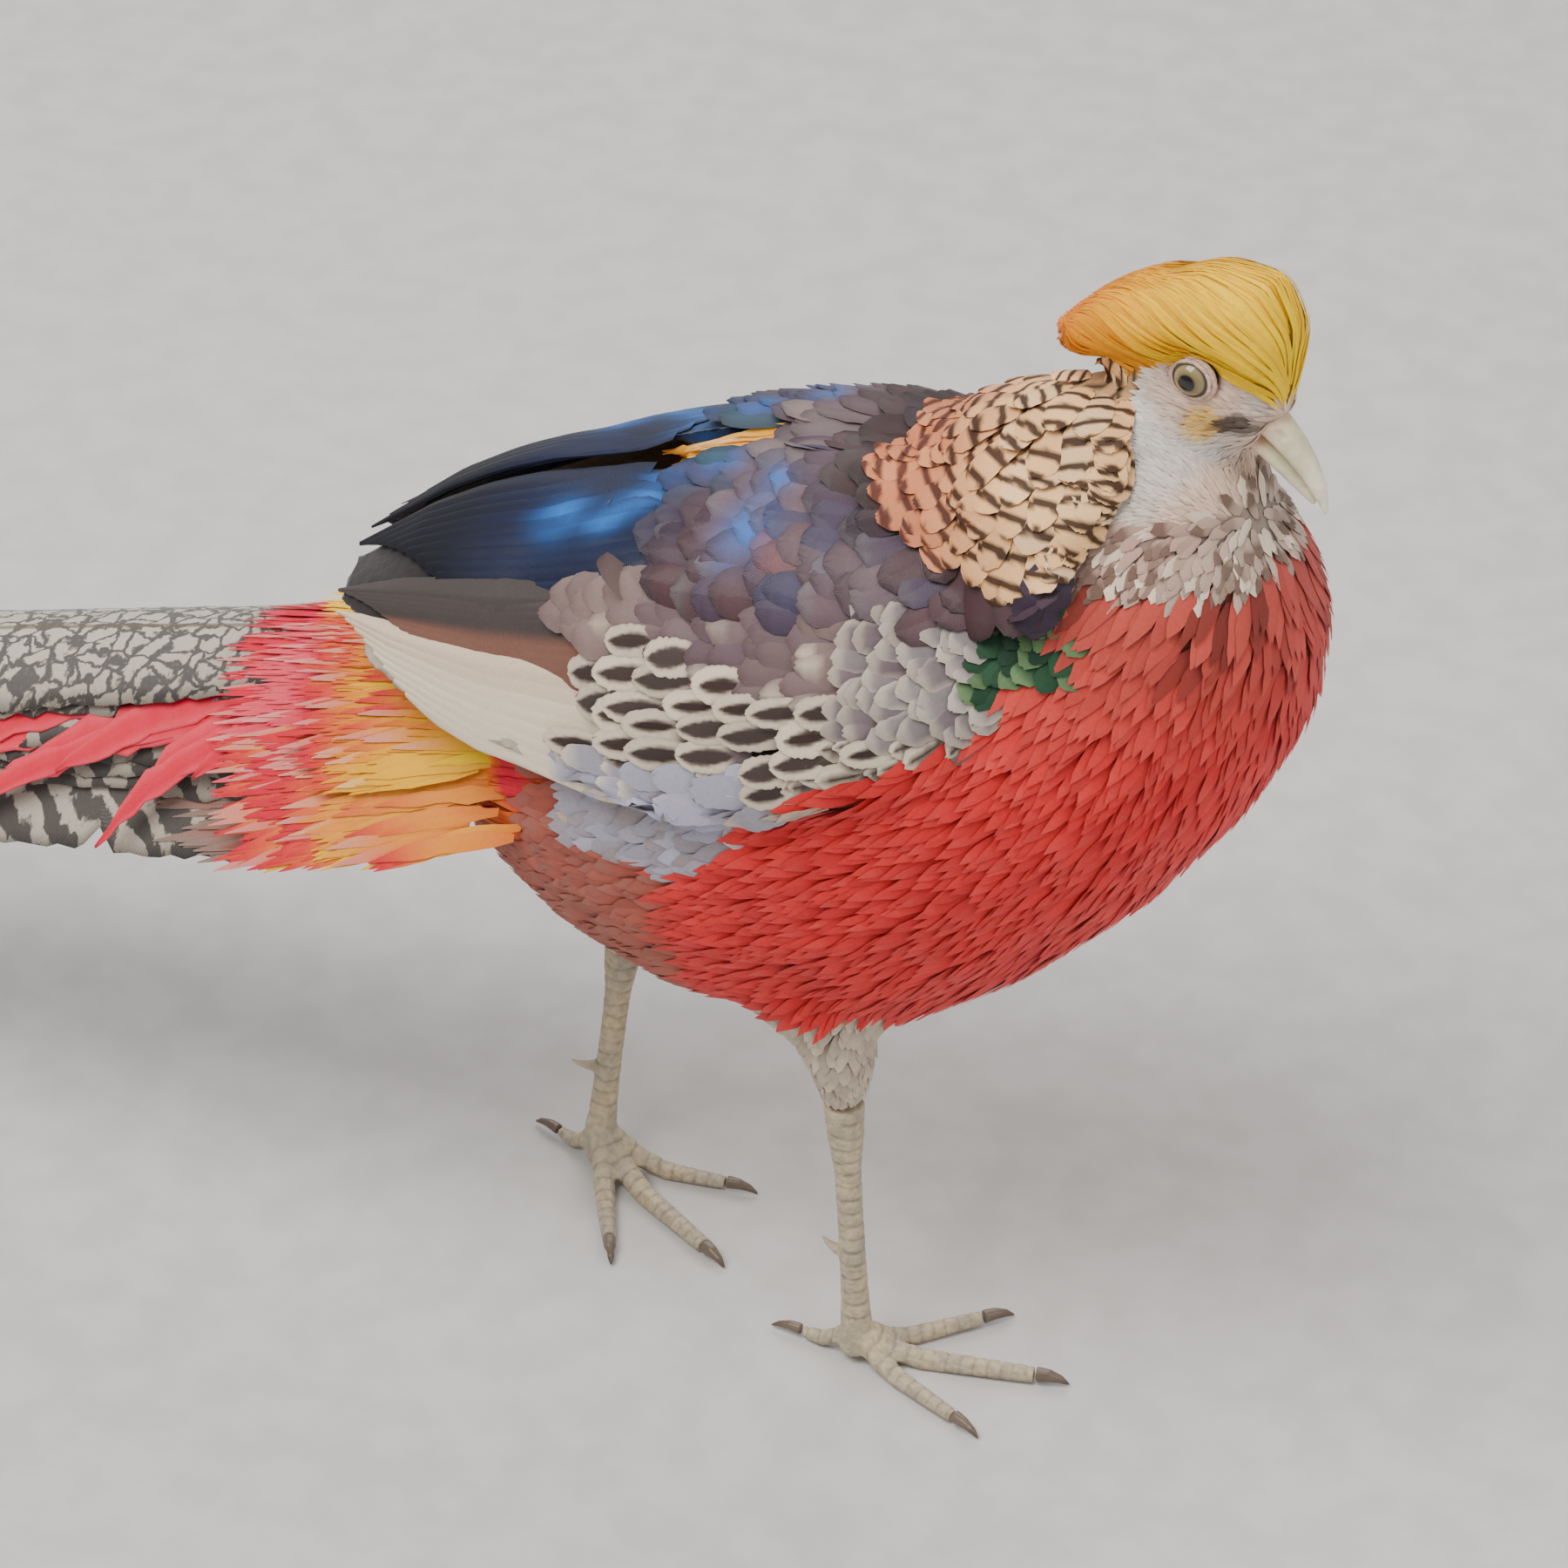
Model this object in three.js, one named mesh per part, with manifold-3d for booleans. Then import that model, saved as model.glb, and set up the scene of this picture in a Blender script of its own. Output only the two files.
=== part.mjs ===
// A life-size still model of a cock golden pheasant, walking with its head turned to its right.
// Millimetres, +Z up. The bird is modelled with +X forward, +Y to its left and the floor at Z = 0,
// and the group is then moved so that its origin is the middle of the bottom of its bounding box.
import * as THREE from "three";
import { mergeVertices } from "three/addons/utils/BufferGeometryUtils.js";
import Module from "manifold-3d";

const wasm = await Module();
wasm.setup();

const V = (x, y, z) => new THREE.Vector3(x, y, z);
const rad = THREE.MathUtils.degToRad;

// Driving dimensions of the bird.
const GAP = 0.4; // clear space between neighbouring solids
const NECK_START = 5; // the station of the trunk's loft where the neck begins
const HEAD = { at: V(120.3, -5.3, 295.6), yaw: -19, pitch: 29 };
const EYE_RADIUS = 4.9;
const EYE_APART = 21.5; // between the centres of the eyeballs
const EYE_PLACE = { ahead: -1.5, up: 1.5 }; // from the middle of the head
const TAIL = { start: 43, length: 700, width: 50, thick: 1.1, layer: 2.1, vault: 0.019 };
const TARSUS_RADIUS = 3.7;
const SOLE_HEIGHT = 2.4; // height of a toe's centre line over the floor
const CLAW_LENGTH = 9;
const STANCE = {
  right: { hip: V(30, -28, 122), knee: V(40, -31, 104), hock: V(41, -29, 82), foot: V(45, -29, 9), heading: 6 },
  left: { hip: V(-6, 28, 118), knee: V(-18, 30, 98), hock: V(-36, 24, 76), foot: V(-43, 21, 12), heading: -34 },
};
const SIDES = [["left", 1], ["right", -1]];

// Colours of the parts, as base colours for their materials.
const COLOURS = {
  breast: 0xb3201c,
  cape: 0xe39a4a,
  crest: 0xe8a411,
  face: 0xb9aca0,
  bill: 0xd9cfa8,
  eye: 0xc9b26a,
  scapular: 0x4a2f3a,
  tertial: 0x14283f,
  covert: 0x5b4742,
  secondary: 0x33302c,
  primary: 0xb9a48c,
  tail: 0x6b5a48,
  plume: 0xc9252c,
  rump: 0xe0a53a,
  vent: 0x6b3423,
  leg: 0xc9bb98,
  claw: 0x6f6353,
};

// Small numeric helpers.

// A value between rows of a table [[t, a, b, ...], ...], eased so that it passes each row smoothly.
function between(rows, t) {
  let i = 0;
  while (i < rows.length - 2 && t > rows[i + 1][0]) i++;
  const [a, b] = [rows[i], rows[i + 1]];
  const before = rows[Math.max(0, i - 1)];
  const after = rows[Math.min(rows.length - 1, i + 2)];
  const span = b[0] - a[0];
  const k = THREE.MathUtils.clamp((t - a[0]) / span, 0, 1);
  return a.slice(1).map((_, j) => {
    const c = j + 1;
    const slopeA = i > 0 ? ((b[c] - before[c]) / (b[0] - before[0])) * span : b[c] - a[c];
    const slopeB = i < rows.length - 2 ? ((after[c] - a[c]) / (after[0] - a[0])) * span : b[c] - a[c];
    const [k2, k3] = [k * k, k * k * k];
    return (
      (2 * k3 - 3 * k2 + 1) * a[c] + (k3 - 2 * k2 + k) * slopeA + (3 * k2 - 2 * k3) * b[c] + (k3 - k2) * slopeB
    );
  });
}

// Signed power, which squares off or pinches a cosine.
const bent = (x, power) => Math.sign(x) * Math.abs(x) ** power;

// Geometry: every shape is a stack of rings, closed at both ends.

function geometryOf(points, triangles) {
  const g = new THREE.BufferGeometry();
  g.setAttribute("position", new THREE.Float32BufferAttribute(points.flatMap((p) => [p.x, p.y, p.z]), 3));
  g.setIndex(triangles);
  return g;
}

function ringStack(rings) {
  const n = rings[0].length;
  const points = rings.flat();
  const triangles = [];
  for (let r = 0; r + 1 < rings.length; r++)
    for (let i = 0; i < n; i++) {
      const [a, b] = [r * n + i, r * n + ((i + 1) % n)];
      triangles.push(a, b, b + n, a, b + n, a + n);
    }
  for (const [r, order] of [[0, 1], [rings.length - 1, -1]]) {
    const middle = rings[r].reduce((sum, p) => sum.add(p), V(0, 0, 0)).divideScalar(n);
    const hub = points.push(middle) - 1;
    for (let i = 0; i < n; i++) {
      const pair = [r * n + ((i + 1) % n), r * n + i];
      triangles.push(hub, ...(order > 0 ? pair : pair.reverse()));
    }
  }
  return geometryOf(points, triangles);
}

// A solid from a geometry, turned outside out if its rings ran the other way round.
function solid(geometry) {
  const bare = geometry.clone();
  bare.deleteAttribute("normal");
  bare.deleteAttribute("uv");
  const merged = mergeVertices(bare, 1e-4);
  const triVerts = new Uint32Array(merged.index.array);
  const make = () =>
    new wasm.Manifold(
      new wasm.Mesh({ numProp: 3, vertProperties: merged.attributes.position.array, triVerts }),
    );
  const made = make();
  if (made.volume() > 0) return made;
  for (let i = 0; i < triVerts.length; i += 3) [triVerts[i], triVerts[i + 1]] = [triVerts[i + 1], triVerts[i]];
  return make();
}

function geometryFrom(manifold) {
  const mesh = manifold.getMesh();
  const g = new THREE.BufferGeometry();
  const xyz = new Float32Array(mesh.numVert * 3);
  for (let i = 0; i < mesh.numVert; i++)
    xyz.set(mesh.vertProperties.subarray(i * mesh.numProp, i * mesh.numProp + 3), i * 3);
  g.setAttribute("position", new THREE.BufferAttribute(xyz, 3));
  g.setIndex(new THREE.BufferAttribute(mesh.triVerts, 1));
  return g;
}

// The largest body of a cut piece, so that a sliver left by a cut is dropped.
function largest(manifold) {
  return manifold.decompose().sort((a, b) => b.volume() - a.volume())[0];
}

// A ring of points round a centre, from its half sizes to the left, right, above and below.
function ring(centre, across, up, sizes, sides) {
  const { left, right, above, below } = sizes;
  return Array.from({ length: sides }, (_, i) => {
    const angle = (2 * Math.PI * i) / sides;
    const [c, s] = [Math.cos(angle), Math.sin(angle)];
    return centre
      .clone()
      .addScaledVector(across, c * (c > 0 ? left : right))
      .addScaledVector(up, s * (s > 0 ? above : below));
  });
}

// A round limb that follows points, with a radius at each end and between: shank, toe, claw or thigh.
function limb(points, radii, { sides = 12, steps = 12, flatten = 1 } = {}) {
  const curve = new THREE.CatmullRomCurve3(points);
  const rings = [];
  const side = V(0, 1, 0);
  for (let i = 0; i <= steps; i++) {
    const t = i / steps;
    const along = curve.getTangent(t);
    const across = side.clone().addScaledVector(along, -side.dot(along)).normalize();
    const up = across.clone().cross(along).normalize();
    const [r] = between(radii, t);
    rings.push(ring(curve.getPoint(t), across, up, { left: r, right: r, above: r * flatten, below: r * flatten }, sides));
  }
  return solid(ringStack(rings));
}

// The frame of a direction given by yaw and downward pitch: forward, left and up.
function frameOf(yaw, pitch) {
  const [y, p] = [rad(yaw), rad(pitch)];
  const forward = V(Math.cos(p) * Math.cos(y), Math.cos(p) * Math.sin(y), -Math.sin(p));
  const left = V(-Math.sin(y), Math.cos(y), 0);
  return { forward, left, up: forward.clone().cross(left) };
}

// Trunk and neck: one loft on a curved spine, from the root of the tail up to the back of the head.
// Rows are [station, x, z, tilt of the section, above, below, half width].
const BODY_ROWS = [
  [0, -68, 158, 4, 24, 25, 21],
  [1, -42, 158, 4, 50, 50, 40],
  [2, -8, 162, 8, 70, 70, 53],
  [3, 30, 170, 16, 80, 78, 59],
  [4, 66, 187, 28, 78, 66, 58],
  [5, 98, 211, 44, 62, 51, 51],
  [6, 112, 234, 56, 58, 44, 42],
  [7, 114, 254, 67, 48, 36, 34],
  [8, 110, 270, 80, 36, 23, 22.5],
  [9, 103, 286, 92, 20, 9, 12],
];
const BODY_LEAN = -7; // how far the neck's top leans to the bird's right

function bodyLoft({ from = 0, to = 9, grow = 0, rows = BODY_ROWS, sides = 18, steps = 8 } = {}) {
  const rings = [];
  for (let i = 0; i <= steps; i++) {
    const t = from + ((to - from) * i) / steps;
    const [x, z, tilt, above, below, wide] = between(rows, t);
    const a = rad(tilt);
    const up = V(-Math.sin(a), 0, Math.cos(a));
    const lean = BODY_LEAN * THREE.MathUtils.smoothstep(t, NECK_START, 8);
    const sizes = { left: wide + grow, right: wide + grow, above: above + grow, below: below + grow };
    rings.push(ring(V(x, lean, z), V(0, 1, 0), up, sizes, sides));
  }
  return solid(ringStack(rings));
}

// Head, in its own frame: origin midway between the eyes, x forward, y left, z up.
const headFrame = frameOf(HEAD.yaw, HEAD.pitch);
const inHead = (x, y, z) =>
  HEAD.at
    .clone()
    .addScaledVector(headFrame.forward, x)
    .addScaledVector(headFrame.left, y)
    .addScaledVector(headFrame.up, z);

// A shape lofted along the head's length. Rows are [x, z, half width, above, below].
function headLoft(rows, { grow = 0, sides = 16, steps = 7 } = {}) {
  const rings = [];
  const [first, last] = [rows[0][0], rows[rows.length - 1][0]];
  for (let i = 0; i <= steps; i++) {
    const x = first + (last - first) * (0.5 - 0.5 * Math.cos((Math.PI * i) / steps));
    const [z, wide, above, below] = between(rows, x);
    rings.push(
      ring(inHead(x, 0, z), headFrame.left, headFrame.up, {
        left: wide + grow,
        right: wide + grow,
        above: above + grow,
        below: below + grow,
      }, sides),
    );
  }
  return solid(ringStack(rings));
}

const SKULL_ROWS = [
  [-23, -2, 1, 1, 1],
  [-21, -3, 9, 8, 12],
  [-14, -3, 14.5, 13, 25],
  [-4, -2, 14.8, 14, 28],
  [4, -2, 13.6, 13, 25],
  [11, -2.5, 10.6, 10, 18],
  [16, -3, 8, 7, 11.5],
  [18.5, -3.5, 6.2, 5.5, 8.5],
];
const CREST_ROWS = [
  [-38, -29, 3, 3, 3],
  [-33, -22, 12, 9, 6],
  [-25, -11, 16, 14, 10],
  [-14, 2, 17, 19, 10],
  [-4, 10, 15.5, 19, 5.5],
  [6, 12, 13.5, 15, 5],
  [14, 7.5, 9.5, 9.5, 5],
  [20, 2, 4, 3, 3],
];
const UPPER_BILL_ROWS = [
  [16, -2.6, 4.8, 4.2, 2.2],
  [22, -2.9, 4.2, 3.7, 2.1],
  [29, -4.6, 3.1, 3, 1.9],
  [35, -7.4, 2, 2.2, 1.6],
  [39, -10.6, 0.5, 0.6, 0.6],
];
const LOWER_BILL_ROWS = [
  [16, -8.2, 4.2, 2.5, 2.2],
  [24, -8.4, 3.4, 2.2, 1.9],
  [31, -9.4, 2.2, 1.6, 1.5],
  [35.5, -10.8, 0.6, 0.5, 0.6],
];

// Folded wings: a shell over the body's side. Rows are [x, half width, top, bottom, thickness].
const WING_ROWS = [
  [-92, 24, 198, 190, 2.2],
  [-72, 37, 214, 184, 3.5],
  [-45, 49, 230, 180, 5],
  [-10, 59, 247, 180, 8],
  [28, 64, 258, 184, 11],
  [62, 61, 258, 196, 11],
  [84, 50, 248, 212, 8],
  [92, 40, 240, 222, 4],
];
const WING_X = [-92, -82, -68, -50, -30, -9, 12, 34, 56, 74, 86, 92]; // the stations where a wing is parted
const WING_ROUND = [0, 0.12, 0.24, 0.35, 0.46, 0.56, 0.66, 0.76, 0.88, 1]; // 0 at the back's middle, 1 below
const WING_RIDGE = 4.5; // how far each wing's upper edge stays from the middle of the back

// The patch of a wing between two stations and two places round it, taken by their index. Each edge stays
// half a gap inside its line; a cutter is the same patch grown all round.
function wingPatch(side, [x0, x1], [r0, r1], grow = 0) {
  const inward = (i, first, last) => (i === first ? 1 : i === last ? -1 : 0) * (GAP / 2 - grow);
  const rings = [];
  for (let i = x0; i <= x1; i++) {
    const [wide, top, bottom, thick] = between(WING_ROWS, WING_X[i]);
    const place = (j, inset) => {
      const angle = (WING_ROUND[j] * Math.PI) / 2 + inward(j, r0, r1) / 30;
      return V(
        WING_X[i] + inward(i, x0, x1),
        side * Math.max(WING_RIDGE - grow, (wide - inset) * Math.abs(Math.sin(angle)) ** 0.85),
        bottom + (top - bottom - inset) * bent(Math.cos(angle), 0.95),
      );
    };
    const columns = WING_ROUND.map((_, j) => j).slice(r0, r1 + 1);
    rings.push([
      ...columns.map((j) => place(j, -grow)),
      ...columns.reverse().map((j) => place(j, thick + grow)),
    ]);
  }
  return solid(ringStack(rings));
}

// Tail and coverts: blades in layers that hang from one drooping ridge, so that they make a roof.
const ridge = new THREE.CatmullRomCurve3([
  V(-30, 0, 181),
  V(-62, 0, 180),
  V(-136, 0, 165),
  V(-200, 0, 150),
  V(-350, 0, 113),
  V(-500, 0, 69),
  V(-610, 0, 32),
  V(-690, 0, 7.6),
  V(-760, 0, 1),
]);
const RIDGE_LENGTH = ridge.getLength();

// A blade's half width along it, as shares: full soon after the root, then drawn out to a point.
const LONG_BLADE = [
  [0, 0.55],
  [0.1, 0.9],
  [0.3, 1],
  [0.6, 0.84],
  [0.85, 0.52],
  [0.97, 0.22],
  [1, 0.06],
];
const ROUND_BLADE = [
  [0, 0.7],
  [0.3, 1],
  [0.7, 0.95],
  [0.9, 0.66],
  [1, 0.2],
];

// One blade. Distances run along the ridge from its front end, the offset to the bird's left. A blade with
// an offset stays on its own side of the ridge.
function blade({
  start = TAIL.start,
  length,
  offset = 0,
  width,
  layer,
  thick = TAIL.thick,
  vault = TAIL.vault,
  shape = LONG_BLADE,
  columns = 4,
  steps = 9,
}) {
  const rings = [];
  for (let i = 0; i <= steps; i++) {
    const t = i / steps;
    const u = Math.min(0.999, (start + length * t) / RIDGE_LENGTH);
    const centre = ridge.getPointAt(u);
    const along = ridge.getTangentAt(u);
    const up = V(0, 1, 0).cross(along).normalize();
    const half = (width / 2) * between(shape, t)[0];
    const flat = 1 - 0.55 * u; // the roof opens out towards its tip
    const inner = offset ? Math.max(GAP, Math.abs(offset) * flat - half) : -half;
    const outer = Math.abs(offset) * flat + half;
    const top = [];
    const bottom = [];
    for (let j = 0; j <= columns; j++) {
      const y = (offset < 0 ? -1 : 1) * THREE.MathUtils.lerp(inner, outer, j / columns);
      const drop = vault * flat * y * y + layer * TAIL.layer * (1 - 0.3 * u);
      top.push(centre.clone().addScaledVector(up, -drop).setY(y));
      bottom.push(centre.clone().addScaledVector(up, -drop - thick).setY(y));
    }
    rings.push([...top, ...bottom.reverse()]);
  }
  return solid(ringStack(rings));
}

// Feet. Each toe runs from the foot's joint out to its tip: [name, angle, length, radius].
const TOES = [
  ["middle", 0, 46, 3.5],
  ["inner", 32, 34, 3.2],
  ["outer", -34, 35, 3.1],
  ["hind", 168, 15, 2.7],
];

// Everything below the floor is cut away, which leaves the soles flat at Z = 0.
const underFloor = (() => {
  const block = new THREE.BoxGeometry(2000, 400, 100);
  block.translate(0, 0, -50);
  return solid(block);
})();

// A point of a toe: a distance out from the foot's joint on the toe's heading, at a height.
function toePoint(joint, heading, distance, height) {
  const a = rad(heading);
  return V(joint.x + Math.cos(a) * distance, joint.y + Math.sin(a) * distance, height);
}

function toe(joint, heading, length, radius) {
  const at = (distance, height) => toePoint(joint, heading, distance, height);
  const down = Math.min(joint.z, length * 0.45);
  return limb(
    [at(0, joint.z), at(down * 0.6, (joint.z + SOLE_HEIGHT) / 2), at(down * 1.2, SOLE_HEIGHT), at(length, SOLE_HEIGHT)],
    [[0, radius + 0.5], [0.3, radius], [0.8, radius - 0.3], [1, radius - 1]],
    { sides: 6, steps: 4 },
  );
}

function claw(joint, heading, length, radius) {
  const at = (distance, height) => toePoint(joint, heading, length + distance, height);
  return limb(
    [at(GAP, SOLE_HEIGHT + 0.3), at(CLAW_LENGTH * 0.6, SOLE_HEIGHT + 0.3), at(CLAW_LENGTH, 0.9)],
    [[0, radius * 0.62], [0.5, radius * 0.45], [1, 0.35]],
    { sides: 6, steps: 3 },
  );
}

function leg(name, side, { hip, knee, hock, foot, heading }) {
  const shank = limb(
    [hock, hock.clone().lerp(foot, 0.5), foot],
    [[0, 5.4], [0.12, 5], [0.28, TARSUS_RADIUS], [0.8, TARSUS_RADIUS], [1, 4.4]],
    { sides: 10, steps: 7 },
  );
  const spurRoot = hock.clone().lerp(foot, 0.68);
  const spur = limb(
    [spurRoot, spurRoot.clone().add(V(-6.5, side * -2, 0.5)), spurRoot.clone().add(V(-9.5, side * -3, 2.5))],
    [[0, 2.2], [0.5, 1.5], [1, 0.4]],
    { sides: 6, steps: 3 },
  );
  const shankWhole = shank.add(spur).subtract(underFloor);
  const shankGrown = limb([hock, hock.clone().lerp(foot, 0.5), foot], [[0, 5.8], [0.5, 4.4], [1, 4.9]], { sides: 10, steps: 2 });

  const palm = limb([foot.clone().setZ(foot.z + 3), foot.clone().setZ(2.6)], [[0, 4.4], [1, 4.8]], { sides: 8, steps: 1 });
  let sole = palm;
  for (const [toeName, angle, length, radius] of TOES) {
    const way = heading - side * angle;
    sole = sole.add(toe(foot, way, length, radius));
    add(`claw_${toeName}_${name}`, claw(foot, way, length, radius).subtract(underFloor), COLOURS.claw);
  }
  const footWhole = clearOf(sole.subtract(underFloor), shankGrown);
  const thigh = limb([hip, knee, hock], [[0, 21], [0.4, 14], [0.75, 9], [1, 6.6]], { sides: 12, steps: 6 });
  add("thigh_" + name, clearOf(thigh, trunkGrown, shankGrown, underFloor), COLOURS.breast);
  add("shank_" + name, shankWhole, COLOURS.leg);
  add("foot_" + name, footWhole, COLOURS.leg);
}

// Assembly: each entry becomes a node. Shapes that meet are cut back from each other by the gap.
const solids = {};
function add(name, shape, colour) {
  solids[name] = { shape, colour };
}

// The shape less others, which are handed in grown by the gap. A sliver left by a cut is dropped.
function clearOf(shape, ...others) {
  return largest(others.reduce((left, other) => left.subtract(other), shape));
}

const wholeWing = [[0, WING_X.length - 1], [0, WING_ROUND.length - 1]];
const wingCutters = SIDES.map(([, side]) => wingPatch(side, ...wholeWing, GAP));
const [trunkStations, neckStations] = [{ to: NECK_START }, { from: NECK_START, steps: 5 }];
const trunkGrown = bodyLoft({ ...trunkStations, grow: GAP });
const neckGrown = bodyLoft({ ...neckStations, grow: GAP });
const skullGrown = headLoft(SKULL_ROWS, { grow: GAP });
const crestGrown = headLoft(CREST_ROWS, { grow: GAP });
add("trunk", clearOf(bodyLoft(trunkStations), neckGrown, ...wingCutters), COLOURS.breast);
// Head: the eyes sit in sockets, the bill and the crest are set on the skull.
const upperBillGrown = headLoft(UPPER_BILL_ROWS, { grow: GAP, sides: 12, steps: 7 });
const lowerBillGrown = headLoft(LOWER_BILL_ROWS, { grow: GAP, sides: 12, steps: 6 });
const sockets = [];
add("neck", clearOf(bodyLoft(neckStations), ...wingCutters, skullGrown, lowerBillGrown), COLOURS.breast);
for (const [name, side] of SIDES) {
  const at = inHead(EYE_PLACE.ahead, (side * EYE_APART) / 2, EYE_PLACE.up);
  const ball = (radius) => solid(new THREE.SphereGeometry(radius, 10, 7).translate(at.x, at.y, at.z));
  add("eye_" + name, ball(EYE_RADIUS), COLOURS.eye);
  sockets.push(ball(EYE_RADIUS + GAP));
}
add("head", clearOf(headLoft(SKULL_ROWS), ...sockets, upperBillGrown, lowerBillGrown), COLOURS.face);
add("bill_upper", headLoft(UPPER_BILL_ROWS, { sides: 12, steps: 7 }), COLOURS.bill);
add("bill_lower", clearOf(headLoft(LOWER_BILL_ROWS, { sides: 12, steps: 6 }), upperBillGrown), COLOURS.bill);
add("crest", clearOf(headLoft(CREST_ROWS), skullGrown, neckGrown, ...sockets, upperBillGrown), COLOURS.crest);

// Cape: a loose collar over the back and sides of the neck, cut off along two sloping lines.
const CAPE_ROWS = BODY_ROWS.map(([station, x, z, tilt, above, below, wide]) => {
  const loose = 13 - 1.1 * station;
  return [station, x, z, tilt, above + loose, below + loose, wide + loose];
});
const CAPE_REACH = 62;
const underCape = new THREE.BoxGeometry(300, 240, 150).translate(0, 0, -75).rotateY(rad(-36)).translate(92, 0, 246);
const beforeCape = new THREE.BoxGeometry(150, 240, 300).translate(75, 0, 0).rotateY(rad(17)).translate(93, 0, 250);

function capeHull(grow) {
  const reach = solid(new THREE.SphereGeometry(CAPE_REACH + grow, 14, 9).translate(106, -2, 282));
  const under = solid(underCape.clone().translate(0, 0, -grow));
  const before = solid(beforeCape.clone().translate(grow, 0, 0));
  const loose = bodyLoft({ from: 4, to: 8.8, rows: CAPE_ROWS, steps: 7, grow });
  return loose.intersect(reach).subtract(under).subtract(before);
}
add("cape", clearOf(capeHull(0), trunkGrown, neckGrown, skullGrown, crestGrown), COLOURS.cape);

// Wings: each is parted into five groups of feathers.
const WING_PARTS = [
  ["scapulars", [5, 11], [0, 4], "scapular"],
  ["tertials", [0, 5], [0, 4], "tertial"],
  ["coverts", [5, 11], [4, 9], "covert"],
  ["secondaries", [0, 5], [4, 7], "secondary"],
  ["primaries", [1, 5], [7, 9], "primary"],
];
for (const [name, side] of SIDES)
  for (const [part, along, round, colour] of WING_PARTS)
    add(`wing_${part}_${name}`, clearOf(wingPatch(side, along, round), capeHull(GAP)), COLOURS[colour]);

// Tail: a centre pair, then pairs that grow shorter outwards. Rows are [share of the length, offset, width].
const TAIL_PAIRS = [
  [0.76, 15, 30],
  [0.56, 17, 29],
  [0.4, 19, 27],
  [0.3, 22, 25],
];
const centre = { length: TAIL.length, width: TAIL.width, columns: 5, steps: 10 };
add("tail_centre_right", blade({ ...centre, layer: 0 }).subtract(underFloor), COLOURS.tail);
add("tail_centre_left", blade({ ...centre, layer: 1 }).subtract(underFloor), COLOURS.tail);
TAIL_PAIRS.forEach(([share, offset, width], i) => {
  for (const [name, side] of SIDES) {
    const sizes = { length: TAIL.length * share, offset: side * offset, width, layer: 2.4 + i };
    add(`tail_side_${i + 1}_${name}`, blade({ ...sizes, columns: 3, steps: 7 }), COLOURS.tail);
  }
});

// Red plumes hang at the tail's sides. Rows are [start, length, offset, width, layer].
const PLUMES = [
  [43, 110, 30, 18, 6.4],
  [52, 150, 33, 16, 7.4],
  [66, 190, 33, 14, 8.4],
];
PLUMES.forEach(([start, length, offset, width, layer], i) => {
  for (const [name, side] of SIDES) {
    const sizes = { start, length, offset: side * offset, width, layer };
    add(`tail_plume_${i + 1}_${name}`, blade({ ...sizes, columns: 3, steps: 4 }), COLOURS.plume);
  }
});

// Coverts: two rounded shells over the tail's root, and a soft wedge under it. Rows are [layer, length, width].
const UPPER_COVERTS = [
  [-1.7, 100, 50, "plume"],
  [-4, 68, 58, "rump"],
];
UPPER_COVERTS.forEach(([layer, length, width, colour], i) => {
  const sizes = { layer, length, width, shape: ROUND_BLADE, columns: 5, steps: 5 };
  add(`tail_covert_upper_${i + 1}`, blade(sizes), COLOURS[colour]);
});
const UNDER_COVERT = [V(-72, 0, 144), V(-112, 0, 141), V(-152, 0, 136)];
add("tail_covert_under", limb(UNDER_COVERT, [[0, 15], [0.5, 12], [1, 3]], { sides: 12, steps: 5 }), COLOURS.vent);

for (const [name, side] of SIDES) leg(name, side, STANCE[name]);

const model = new THREE.Group();
for (const [name, { shape, colour }] of Object.entries(solids)) {
  const material = new THREE.MeshStandardMaterial({ color: colour, roughness: 0.7, metalness: 0 });
  const mesh = new THREE.Mesh(geometryFrom(shape), material);
  mesh.name = name;
  model.add(mesh);
}

const box = new THREE.Box3().setFromObject(model);
const middle = box.getCenter(V(0, 0, 0));
model.position.set(-middle.x, -middle.y, -box.min.z);

export default model;
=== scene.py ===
import math

import bpy
import numpy as np
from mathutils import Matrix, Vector
from mathutils.bvhtree import BVHTree


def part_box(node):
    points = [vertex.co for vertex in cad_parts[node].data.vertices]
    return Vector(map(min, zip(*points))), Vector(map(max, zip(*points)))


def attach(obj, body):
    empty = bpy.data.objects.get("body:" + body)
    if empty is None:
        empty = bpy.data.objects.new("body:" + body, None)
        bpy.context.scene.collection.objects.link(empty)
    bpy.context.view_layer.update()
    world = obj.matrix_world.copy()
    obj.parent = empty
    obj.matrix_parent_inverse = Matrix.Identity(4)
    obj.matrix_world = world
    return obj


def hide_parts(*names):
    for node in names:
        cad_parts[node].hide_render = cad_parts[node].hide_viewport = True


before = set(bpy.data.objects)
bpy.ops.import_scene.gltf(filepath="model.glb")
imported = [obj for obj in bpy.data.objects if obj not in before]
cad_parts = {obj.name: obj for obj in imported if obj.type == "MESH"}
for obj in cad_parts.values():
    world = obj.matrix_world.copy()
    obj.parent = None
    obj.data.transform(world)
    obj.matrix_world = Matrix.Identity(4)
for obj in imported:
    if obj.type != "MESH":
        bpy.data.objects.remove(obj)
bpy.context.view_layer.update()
for chosen in list(bpy.context.selected_objects):
    chosen.select_set(False)

rng = np.random.default_rng(7)

# Places of the pose, as the solids have them.
HEAD_AT = np.array([120.3, -5.3, 295.6])
HEAD_YAW = -19
HEAD_PITCH = 29
EYE_AHEAD = -1.5
EYE_UP = 1.5
EYEBALL_RADIUS = 4.8

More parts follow.
